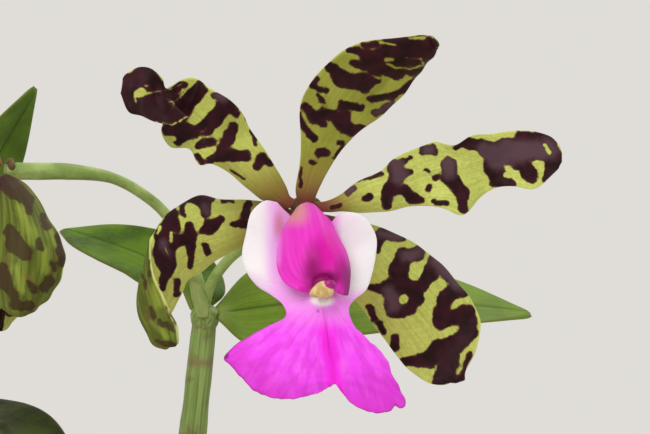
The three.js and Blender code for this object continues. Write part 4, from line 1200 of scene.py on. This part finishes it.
def finish_column_shape(points):
    """The hood's lower edge hangs lower on both sides of the anther cap."""
    places = squares(points)
    drops = [depth * blob(places, *ellipse, HOOD_DROP_SOFTNESS) for *ellipse, depth in HOOD_DROPS]
    return points - np.sum(drops, axis=0)[:, None] * at(0, 0, 1)


def column_marks(places):
    fade = faded(places, COLUMN_FADES)
    return {
        "hot": blobs(places, COLUMN_HOT),
        "deep": blobs(places, COLUMN_DEEP),
        "hollow": blobs(places, COLUMN_HOLLOW_SHADE),
        "top": fade["top_above"] * fade["top_left"],
        "lilac_rim": fade["lilac_left"] * fade["lilac_below"] * fade["lilac_above"],
        "purple_rim": fade["purple_right"] * fade["purple_below"],
    }


def make_column(bloom):
    points, quads, marks = blade(on_sheet(COLUMN), COLUMN_THICKNESS, *COLUMN_STEPS, column_lift)
    points = finish_column_shape(points)
    marks |= column_marks(squares(points))
    bloom.make("column_fine", (points, quads, marks), "column", "column", "column")


def make_anther(bloom):
    """The cap narrows towards its top. The column's tongue laps over one corner of it, and a
    link holds it to the hood."""
    points, faces = ball((1, 1, 1))
    points = np.sign(points) * np.abs(points) ** CAP_SQUARENESS
    points[:, 0] = points[:, 0] * (1 - CAP_NARROWING * points[:, 2]) + CAP_LEAN * points[:, 2]
    points = points * ANTHER_CAP_SIZE + on_sheet(ANTHER_CAP_PLACE)
    bloom.make("anther_cap_fine", (points, faces, None), "anther", "anther", "anther_cap")
    points, faces = ball(TONGUE_SIZE, rings=14, sides=20)
    bloom.make("column_tongue", (points + on_sheet(TONGUE_PLACE), faces, None), "tongue", "column")
    points, faces, marks = tube(on_sheet(CAP_LINK_PATH), CAP_LINK_RADII, *CAP_LINK_STEPS)
    # The link is coloured all over like that hollow: painted shade between cap and hood
    marks["hollow"] = np.ones(len(points))
    bloom.make("cap_link", (points, faces, marks), "column", "column")


for bloom in (FRONT, SIDE):
    for tepal_name in TEPALS:
        if (bloom.name, tepal_name) != ("side_bloom", "lateral_sepal_left"):
            make_tepal(bloom, tepal_name)
    make_lip(bloom)
    make_column(bloom)
    make_anther(bloom)
make_hanging_sepal()


# Pseudobulbs on the necks of the rhizome
RHIZOME_WAY = [(31, 28), (26, 24), (12, 15), (-6, 4), (-20, -9), (-28, -24), (-30, -31)]
RHIZOME_SHARES = [0.6, 1, 1.05, 1, 1, 0.95, 0.5]
NECKS = {
    "a": (at(-8, 2.6, 0), at(1, -0.5, 6)),
    "b": (at(-22, -11.5, 0), at(-2.5, 0, 6)),
    "c": (at(12, 15, 0), at(0.5, 0.8, 6)),
    "d": (at(27, 24.7, 0), at(1, -0.6, 6)),
    "shoot": (at(-28.5, -26, 0), at(-0.5, -1, 6)),
}
ROOTS = [
    [(-4, 5, 87), (-9, 14, 88), (-16, 22, 89), (-24, 26, 87), (-30, 23, 82), (-30, 20, 68)],
    [(-2, 5, 86), (2, -8, 88), (9, -18, 90), (19, -24, 90), (27, -25, 86), (28, -25, 74)],
    [(18, 18, 86), (24, 10, 88), (32, 5, 90), (37, 3, 86), (37, 2, 74)],
    [(8, 13, 86), (6, 24, 88), (2, 32, 89), (1, 37, 85), (1, 36, 72)],
    [(-25, -16, 86), (-32, -12, 88), (-36, -4, 88), (-37, 3, 83), (-36, 7, 70)],
    [(-26, -20, 86), (-18, -27, 88), (-8, -32, 89), (2, -36, 86), (6, -35, 72)],
]
ROOT_SHARES = [0.9, 1, 1, 0.95, 0.9, 0.7]
BULB_SWELL = [0.85, 1, 1.02, 0.95, 0.85, 0.74, 0.68]
LEAF_SEAT_OFFSET = 2.8
STALK_SEAT = (205, 318, 46.5)


def neck_point(neck, z):
    place, lean = NECKS[neck]
    return place * at(1, 1, 0) + at(0, 0, RHIZOME_LEVEL) + lean * (z - RHIZOME_LEVEL) / lean[2]


def bulb_path(neck, *way):
    foot = neck_point(neck, NECK_TOP + GAP)
    return [foot, foot + NECKS[neck][1], *way]


BULBS = {
    "a": bulb_path("a", at(-3.5, 0, 120), at(0, -2.6, 148), in_room(STALK_SEAT)),
    "b": bulb_path("b", at(-36, -11, 118), at(-48, -9.5, 136), at(-56, -8, 150)),
    "c": bulb_path("c", at(14.5, 19, 106), at(15.5, 21.5, 113), at(16, 23, 119)),
    "d": bulb_path("d", at(30.5, 23, 106), at(33, 22, 112), at(35, 21, 117)),
}
SHOOT_PATH = bulb_path("shoot", at(-29.5, -28, 102), at(-30.5, -30, 112))
SHOOT_RADII = [3, 2.6, 0.7]
BULB_JOINTS = {"a": 6, "b": 5, "c": 3, "d": 3}
BULB_SIDES = 48
BULB_STEPS_PER_JOINT = 40
RING_WIDTH = 0.045
RING_DEPTH = 0.06
FURROWS = 9
FURROW_TWIST = 4
FURROW_DEPTH = 0.036
WAIST_DEPTH = 0.05
LEAF_JOINT_STEPS = (36, 24)
DRY_SHEATH_STEPS = (60, 30)
SHOOT_STEPS = (36, 40)
LEAF_JOINT_RISES = [-2.6, -1.2, 0.4, 1.8, 2.8]
LEAF_JOINT_RADII = [2.4, 3.0, 3.35, 3.1, 1.8]
DRY_SHEATH_REACH = {"a": 0.3, "b": 0.36, "c": 0.5, "d": 0.5}
DRY_SHEATH_SHARES = [0.98, 1.1, 1.13, 1.14, 1.12, 0.9]
DRY_SHEATH_START = 0.03
DRY_SHEATH_CREASES = [(0.02, 3, 7, math.pi / 2), (0.015, -5, 13, math.pi / 2)]
DRY_SHEATH_TEARS = [(1.6, 1, 0, 0), (0.64, 3, 0, 0)]


def make_bulb(name, path):
    """A furrowed stem with a ring at each joint, and the swollen joint in which its leaves stand."""
    joints = BULB_JOINTS[name]

    def ringed(t):
        return hill((t * joints) % 1.0 - 0.5, RING_WIDTH)

    def relief(t, angle):
        furrow = FURROW_DEPTH * np.cos(FURROWS * angle + FURROW_TWIST * t) * smooth(0.0, 0.15, t)
        waist = WAIST_DEPTH * np.cos(2 * math.pi * (t * joints - 0.5)) - RING_DEPTH * ringed(t)
        return 1 + furrow - 0.5 * np.abs(waist) + 0.4 * waist

    radii = [share * BULB_RADIUS for share in BULB_SWELL]
    stem = tube(path, radii, BULB_SIDES, BULB_STEPS_PER_JOINT * joints, relief)
    stem[2]["ring"] = ringed(stem[2]["u"])
    rise = unit(path[-1] - path[-2])
    joint_path = [path[-1] + rise * step for step in LEAF_JOINT_RISES]
    joint = tube(joint_path, LEAF_JOINT_RADII, *LEAF_JOINT_STEPS)
    joint[2]["ring"] = smooth(0.3, 0.05, joint[2]["u"])
    bulb = make_mesh(f"pseudobulb_{name}_fine", *together([stem, joint]))
    show(bulb, "bulb", "pseudobulb", f"pseudobulb_{name}")


def make_dry_sheath(name, path):
    """A dry sheath round the foot of a pseudobulb, torn unevenly at its top."""
    shares = np.linspace(DRY_SHEATH_START, DRY_SHEATH_REACH[name], len(DRY_SHEATH_SHARES))
    radii = [share * BULB_RADIUS for share in DRY_SHEATH_SHARES]

    def creases(t, angle):
        return 1 + ripples(DRY_SHEATH_CREASES, t, angle)

    centre = curve_through(path, shares * (len(path) - 1), even=False)
    points, faces, marks = tube(centre, radii, *DRY_SHEATH_STEPS, creases)
    angle = 2 * math.pi * marks["v"] + len(path)
    torn = ripples(DRY_SHEATH_TEARS, angle, 0) * smooth(0.45, 0.9, marks["u"])
    points = points + unit(path[2] - path[1]) * torn[:, None]
    show(make_mesh(f"pseudobulb_{name}_dry_sheath", points, faces, marks), "dry_sheath", "sheath")


for bulb_name, bulb_way in BULBS.items():
    make_bulb(bulb_name, bulb_way)
    make_dry_sheath(bulb_name, bulb_way)
shoot = make_mesh("new_shoot_fine", *tube(SHOOT_PATH, SHOOT_RADII, *SHOOT_STEPS))
show(shoot, "shoot", "sheath", "new_shoot")


# Leaves
# Leaves that take the darkened leaf material, which is painted shade
SHADE_DARKENED_LEAVES = ["leaf_b2"]
LEAF_PALENESS = {"leaf_a2": 0.4, "leaf_b1": 0.12}
LEAF_RIBS = 6
LEAF_STEPS = (110, 36)
LEAF_CLEARANCE = 3 * GAP
STALK_CLEARANCE = 4 * GAP
LEAF_FOOT_OUT = 0.7
LEAF_FOOT_RISE = 4.5
LEAF_PATH_SAMPLES = 201
LEAF_LEAST_HALF = 0.9
LEAF_FULLNESS = 0.6
LEAF_START = 0.03
LEAF_TURN_END = 0.3
LEAF_GROOVE_DEPTH = 0.35
LEAF_GROOVE_WIDTH = 0.05
LEAF_WAVES = [(0.12, 9, 2, 0)]


def leaf_path(bulb, direction, *way, clearance=LEAF_CLEARANCE):
    """A path that starts beside the top of a pseudobulb and runs up before it bends away."""
    top = BULBS[bulb][-1]
    rise = unit(top - BULBS[bulb][-2])
    out = unit(direction - rise * (direction @ rise))
    seat = top + out * LEAF_SEAT_OFFSET + rise * clearance
    return [seat, seat + out * LEAF_FOOT_OUT + rise * LEAF_FOOT_RISE, *way]


# Each leaf has its path, its width, where its face looks at its foot and at its tip, and how far
# its margins stand above its keel
LEAVES = {
    "leaf_a1": (
        leaf_path("a", at(-0.7, 1, 0), *in_room([
            (182, 281, 62), (150, 261, 67), (100, 242, 76), (62, 231, 84),
        ]), clearance=STALK_CLEARANCE),
        20, at(0.2, -0.6, 0.8), at(0.1, -0.4, 0.9), 0.2,
    ),
    "leaf_a2": (
        leaf_path("a", at(1, -0.3, 0), *in_room([
            (250, 311, 51), (330, 300, 52), (430, 303, 57), (531, 315, 62),
        ]), clearance=STALK_CLEARANCE),
        27, at(0, -0.8, 0.6), at(0, -0.25, 0.95), 0.15,
    ),
    "leaf_b1": (
        leaf_path("b", at(-1, 1, 0), at(-60, 4, 178), at(-51, 16, 203), at(-38, 24, 227)),
        24, at(1, -0.2, 0.1), at(1, -0.5, 0.1), 0.15,
    ),
    "leaf_b2": (
        leaf_path("b", at(1, -1, 0), at(-45, -21, 157), at(-34, -33, 153), at(-22, -44, 140)),
        24, at(-0.1, 0.1, 1), at(0, 0, 1), 0.2,
    ),
    "leaf_c1": (
        leaf_path("c", at(1, 0.1, 0), at(37, 29, 130), at(54, 34, 128), at(71, 38, 117)),
        27, at(-0.1, -0.2, 1), at(0, -0.1, 1), 0.15,
    ),
    "leaf_c2": (
        leaf_path("c", at(-1, 0.6, 0), at(-3, 37, 131), at(-14, 52, 129), at(-25, 68, 118)),
        25, at(0, -0.2, 1), at(0, -0.1, 1), 0.15,
    ),
    "leaf_d1": (
        leaf_path("d", at(1, -0.6, 0), at(52, 10, 125), at(64, 3, 122), at(77, -5, 111)),
        22, at(-0.2, 0.1, 1), at(0, 0, 1), 0.15,
    ),
}


def leaf_ribs(path, width, foot_faces, tip_faces, keel):
    """Ribs at even lengths along the leaf's path, each square to it."""
    fine = curve_through(path, np.linspace(0, len(path) - 1, LEAF_PATH_SAMPLES), even=False)
    length = np.concatenate([[0], np.cumsum(np.linalg.norm(np.diff(fine, axis=0), axis=1))])
    share = np.linspace(0, 1, LEAF_RIBS + 1)

    def at_shares(values):
        return np.stack([np.interp(share * length[-1], length, values[:, k]) for k in range(3)], -1)

    inward = unit((path[0] - path[-1]) * at(1, 1, 0))
    ribs = []
    for s, middle, tangent in zip(share, at_shares(fine), unit(at_shares(np.gradient(fine, axis=0)))):
        upward = foot_faces * (1 - s) + tip_faces * s
        turn = smooth(0, LEAF_TURN_END, s)
        side = unit(np.cross(tangent, inward * (1 - turn) + upward * turn))
        rise = np.cross(side, tangent)
        swell = math.sin(math.pi * (LEAF_START + (1 - LEAF_START) * s)) ** LEAF_FULLNESS
        half = max(LEAF_LEAST_HALF, 0.5 * width * swell)
        ribs.append([middle + (rise * keel * abs(way) + side * way) * half for way in (-1, 0, 1)])
    return ribs


def leaf_lift(u, v):
    """A groove over the midrib and faint waves along it, in mm."""
    groove = hill(v, LEAF_GROOVE_WIDTH) * smooth(0.02, 0.12, u) * smooth(1.0, 0.9, u)
    return ripples(LEAF_WAVES, u, v) * np.abs(v) - LEAF_GROOVE_DEPTH * groove


def make_leaf(name):
    points, quads, marks = blade(leaf_ribs(*LEAVES[name]), LEAF_THICKNESS, *LEAF_STEPS, leaf_lift)
    marks["pale"] = np.full(len(points), LEAF_PALENESS.get(name, 0.0))
    leaf = make_mesh(f"{name}_fine", points, quads, marks)
    show(leaf, "shade_darkened_leaf" if name in SHADE_DARKENED_LEAVES else "leaf", "leaf", name)


for leaf_name in LEAVES:
    make_leaf(leaf_name)


# Flower stem, its two ovaries and the sheath at its foot
OVARY_SETBACKS = (14, 8, 3, GAP)
OVARY_FURROWS = 6
OVARY_FURROW_DEPTH = 0.05
OVARY_TOP_SIZE = (3.3, 1.3, 2.2)
OVARY_TOP_SHARES = {"front_bloom": 1.0, "side_bloom": 0.72}
OVARY_TOP_PLACE = at(0, 1.3, 1.2)
SHEATH_STEPS = (60, 24)
STALK_STEPS = (30, 24)
PEDICEL_STEPS = (30, 150)


def stalk_tube(bloom, way):
    behind = [to_room(bloom.seat + bloom.turn @ at(0, back, 0)) for back in OVARY_SETBACKS]
    radii = [PEDICEL_RADIUS] * len(way)
    radii += [1.5 * PEDICEL_RADIUS, OVARY_RADIUS, OVARY_RADIUS, 0.8 * OVARY_RADIUS]

    def relief(t, angle):
        return 1 + OVARY_FURROW_DEPTH * np.cos(OVARY_FURROWS * angle) * smooth(0.6, 0.85, t)

    return tube([*in_room(way), *behind], radii, *PEDICEL_STEPS, relief)


def make_ovary_top(bloom):
    """The knob on which the claws of a bloom stand."""
    points, faces = ball(OVARY_TOP_SIZE, rings=20, sides=28)
    points = points * OVARY_TOP_SHARES[bloom.name] + OVARY_TOP_PLACE
    knob = make_mesh(f"{bloom.name}_ovary_top", to_room(points @ bloom.turn.T + bloom.seat), faces)
    show(knob, "knob", "stalk")


def make_flower_stem():
    top = BULBS["a"][-1]
    foot = top + unit(top - BULBS["a"][-2]) * 2.5 * GAP
    radii = [PEDICEL_RADIUS, 1.1 * PEDICEL_RADIUS, 1.1 * PEDICEL_RADIUS]
    stalk = tube([foot, *in_room([STALK_FORK, STALK_TOP])], radii, *STALK_STEPS)
    stem = make_mesh("flower_stem_fine", *stalk[:2])
    for bloom, way in ((FRONT, FRONT_STALK), (SIDE, SIDE_STALK)):
        boolean(stem, make_mesh("branch", *stalk_tube(bloom, way)[:2]), "UNION")
        make_ovary_top(bloom)
    show(stem, "stalk", "stalk", "flower_stem")


make_flower_stem()
floral_sheath = blade(in_room(FLORAL_SHEATH), SHEATH_THICKNESS, *SHEATH_STEPS)
show(make_mesh("floral_sheath_fine", *floral_sheath), "shoot", "sheath", "floral_sheath")


# Rhizome, necks and roots
RHIZOME_STEPS = (32, 220)
NECK_STEPS = (32, 12)
ROOT_STEPS = (20, 120)
KNOBS = [(0.05, 60, 2, 0), (0.04, 23, -3, 0)]


def knobbly(t, angle):
    return 1 + ripples(KNOBS, t, angle)


def make_rhizome():
    path = [at(x, y, RHIZOME_LEVEL) for x, y in RHIZOME_WAY]
    radii = [share * RHIZOME_RADIUS for share in RHIZOME_SHARES]
    parts = [tube(path, radii, *RHIZOME_STEPS, knobbly)]
    for neck in NECKS:
        path = [neck_point(neck, RHIZOME_LEVEL), neck_point(neck, NECK_TOP)]
        parts.append(tube(path, [NECK_RADIUS, NECK_RADIUS], *NECK_STEPS))
    show(make_mesh("rhizome_stem", *together(parts)), "rhizome", "root", "rhizome")
    roots = []
    for path in ROOTS:
        radii = [share * ROOT_RADIUS for share in ROOT_SHARES[:len(path)]]
        roots.append(tube(path, radii, *ROOT_STEPS, knobbly))
    show(make_mesh("roots", *together(roots)), "root", "root")


make_rhizome()


# Pot and bark
WALL_SLOPE = (POT_RIM_RADIUS - RIM_BAND_STEP - POT_BASE_RADIUS) / POT_HEIGHT
LATHE_SIDES = 128
DRILL_STEPS = (40, 1)
BAND_CHAMFER = 2
POT_ROUNDING = 2.0
CORNER_SHARE = 0.45
POT_SHARP_ANGLE = math.radians(50)
BED_ROUNDING = 1.0
CHIP_SIZE = (15, 11, 7)
CHIP_RINGS = ((1, 0), (7, 10), (12, 19), (17, 28), (21, 36))
CHIP_CUTS = (6, 5, 4)
CHIP_SQUARENESS = 5
CHIP_WEAR = 0.65
CHIP_TILT = 0.5
CHIP_ROUGHNESS = 0.16
CHIP_CORNERS = (0.65, 1)
CHIP_SCALES = (0.75, 1.05)
CHIP_STRAY = 0.2
CHIP_RISES = (-0.5, 1.6)


def wall_radius(z):
    return POT_BASE_RADIUS + WALL_SLOPE * z


def inner_radius(z):
    return wall_radius(z) - POT_WALL


def rounded_profile(corners, radius, steps=4):
    """Corners of a profile, each cut back by the radius and rounded with a parabola."""
    corners = np.array(corners, float)
    made = [corners[0]]
    for before, corner, after in zip(corners, corners[1:], corners[2:]):
        start, end = (
            corner + unit(other - corner) * min(radius, CORNER_SHARE * np.linalg.norm(other - corner))
            for other in (before, after)
        )
        for t in np.linspace(0, 1, steps + 1):
            made.append(start * (1 - t) ** 2 + corner * 2 * t * (1 - t) + end * t**2)
    made.append(corners[-1])
    return made


def make_pot():
    band_foot = POT_HEIGHT - RIM_BAND_HEIGHT
    profile = rounded_profile([
        [0, 0], [POT_BASE_RADIUS, 0],
        [wall_radius(band_foot - BAND_CHAMFER), band_foot - BAND_CHAMFER],
        [wall_radius(band_foot) + RIM_BAND_STEP, band_foot], [POT_RIM_RADIUS, POT_HEIGHT],
        [inner_radius(POT_HEIGHT), POT_HEIGHT], [inner_radius(POT_FLOOR), POT_FLOOR], [0, POT_FLOOR],
    ], POT_ROUNDING)
    pot = make_mesh("clay_pot", *lathe(profile, LATHE_SIDES))
    for hole in range(3):
        angle = math.pi / 2 + hole * 2 * math.pi / 3
        middle = at(DRAIN_HOLE_OFFSET * math.cos(angle), DRAIN_HOLE_OFFSET * math.sin(angle), 0)
        path = [middle - at(0, 0, POT_FLOOR), middle + at(0, 0, 2 * POT_FLOOR)]
        drill = make_mesh("drill", *tube(path, [DRAIN_HOLE_RADIUS] * 2, *DRILL_STEPS)[:2])
        boolean(pot, drill, "DIFFERENCE")
    pot.data.set_sharp_from_angle(angle=POT_SHARP_ANGLE)
    show(pot, "clay", "clay", "pot")


def chip(place):
    """One bark chip: a box with worn corners, rough sides and its own tone."""
    cuts = [np.linspace(-1, 1, count + 1) for count in CHIP_CUTS]
    grid = np.stack(np.meshgrid(*cuts, indexing="ij"), -1)
    index = np.arange(grid[..., 0].size).reshape(grid.shape[:3])
    faces = []
    for axis in range(3):
        for end, flip in ((0, True), (-1, False)):
            layer = np.take(index, end, axis=axis)
            quads = np.stack([layer[:-1, :-1], layer[1:, :-1], layer[1:, 1:], layer[:-1, 1:]], -1)
            quads = quads.reshape(-1, 4)
            faces.append(quads[:, ::-1] if flip != (axis == 1) else quads)
    used, faces = np.unique(np.vstack(faces), return_inverse=True)
    points = grid.reshape(-1, 3)[used]
    worn = np.sum(np.abs(points) ** CHIP_SQUARENESS, axis=1, keepdims=True) ** (-1 / CHIP_SQUARENESS)
    points = points * (1 - CHIP_WEAR + CHIP_WEAR * worn)
    shares = rng.uniform(*CHIP_CORNERS, 8)
    corner = (points > 0) @ [1, 2, 4]
    points = points * shares[corner][:, None] ** 0.5
    points = points * np.array(CHIP_SIZE) / 2 * rng.uniform(*CHIP_SCALES)
    points = points + rng.normal(0, CHIP_ROUGHNESS, points.shape)
    swing = turned("z", rng.uniform(0, 2 * math.pi)) @ turned("y", rng.uniform(-CHIP_TILT, CHIP_TILT))
    points = points @ (swing @ turned("x", rng.uniform(-CHIP_TILT, CHIP_TILT))).T + place
    return points, faces.reshape(-1, 4), {"tone": np.full(len(points), rng.uniform(0, 1))}


def make_bark():
    floor, top = POT_FLOOR + GAP, BARK_LEVEL - 1
    bed_profile = [[0, floor], [inner_radius(floor) - GAP, floor], [inner_radius(top) - GAP, top], [0, top]]
    points, faces = lathe(rounded_profile(bed_profile, BED_ROUNDING), LATHE_SIDES)
    bed = make_mesh("bark_fill", points, faces, {"tone": np.zeros(len(points))})
    show(bed, "bark", "bark", "bark_bed")
    chips = []
    for count, radius in CHIP_RINGS:
        for i in range(count):
            angle = 2 * math.pi * (i + rng.uniform(-CHIP_STRAY, CHIP_STRAY)) / count
            height = BARK_LEVEL + rng.uniform(*CHIP_RISES)
            chips.append(chip(at(radius * math.cos(angle), radius * math.sin(angle), height)))
    show(make_mesh("bark_chips", *together(chips)), "bark", "bark")


make_pot()
make_bark()


# Floor, in millimetres, and its fade, the lamps and the camera, in metres. A lamp has its offset
# from the front bloom, its size and its power in watts. The sensor is in millimetres.
LAMPS = {"key": (at(-0.25, -0.5, 0.55), 0.5, 2.5), "back": (at(0.35, 0.4, 0.6), 0.6, 1.2)}
SENSOR_WIDTH = 36
CLIP_START = 0.01
WORLD_COLOR = srgb(224, 221, 216)
FLOOR_COLOR = srgb(226, 222, 216)
FLOOR_RADIUS = 700
FLOOR_SIDES = 48
FLOOR_FADE = (0.3, 0.66)


def make_floor():
    """A pale disk that fades out towards its edge."""
    angle = np.arange(FLOOR_SIDES) * 2 * math.pi / FLOOR_SIDES
    rim = np.stack([np.cos(angle), np.sin(angle), 0 * angle], -1) * FLOOR_RADIUS
    faces = [(0, k + 1, (k + 1) % FLOOR_SIDES + 1) for k in range(FLOOR_SIDES)]
    floor = make_mesh("floor", np.vstack([at(0, 0, 0), rim]), faces)
    paint = Paint("pale_floor", 0.8, Base_Color=FLOOR_COLOR)
    place = paint.node("ShaderNodeTexCoord", output="Object")
    distance = paint.node("ShaderNodeVectorMath", {0: place}, "Value", operation="LENGTH")
    mixed = paint.node("ShaderNodeMixShader", {
        0: paint.band(distance, *FLOOR_FADE),
        1: paint.shader.outputs["BSDF"],
        2: paint.node("ShaderNodeBsdfTransparent"),
    })
    paint.plug(paint.nodes["Material Output"].inputs["Surface"], mixed)
    floor.data.materials.append(paint.material)


def aim(name, data, place, target):
    """A lamp or camera at a place, looking at its target."""
    made = bpy.data.objects.new(name, data)
    made.location = Vector(place)
    made.rotation_mode = "QUATERNION"
    made.rotation_quaternion = (Vector(target) - Vector(place)).to_track_quat("-Z", "Y")
    bpy.context.scene.collection.objects.link(made)
    return made


def area_light(name, offset, size, power):
    data = bpy.data.lights.new(name, "AREA")
    data.shape = "DISK"
    data.size = size
    data.energy = power
    aim(name, data, BLOOM_MIDDLE + offset, BLOOM_MIDDLE)


def make_camera():
    data = bpy.data.cameras.new("camera")
    data.sensor_width = SENSOR_WIDTH
    data.lens = SENSOR_WIDTH * VIEW_DISTANCE / (SHEET_WIDTH * SQUARE)
    data.clip_start = CLIP_START
    away = at(0, -math.cos(VIEW_TILT), math.sin(VIEW_TILT)) * VIEW_DISTANCE * MM
    bpy.context.scene.camera = aim("camera", data, BLOOM_MIDDLE + away, BLOOM_MIDDLE)


def make_world():
    world = bpy.data.worlds.new("studio")
    world.use_nodes = True
    sky = world.node_tree.nodes["Background"]
    sky.inputs["Color"].default_value = WORLD_COLOR
    sky.inputs["Strength"].default_value = 1.0
    bpy.context.scene.world = world


BLOOM_MIDDLE = SHEET_PLACE * MM
make_floor()
for lamp_name, lamp in LAMPS.items():
    area_light(lamp_name, *lamp)
make_camera()
make_world()
bpy.context.scene.view_settings.view_transform = "Standard"
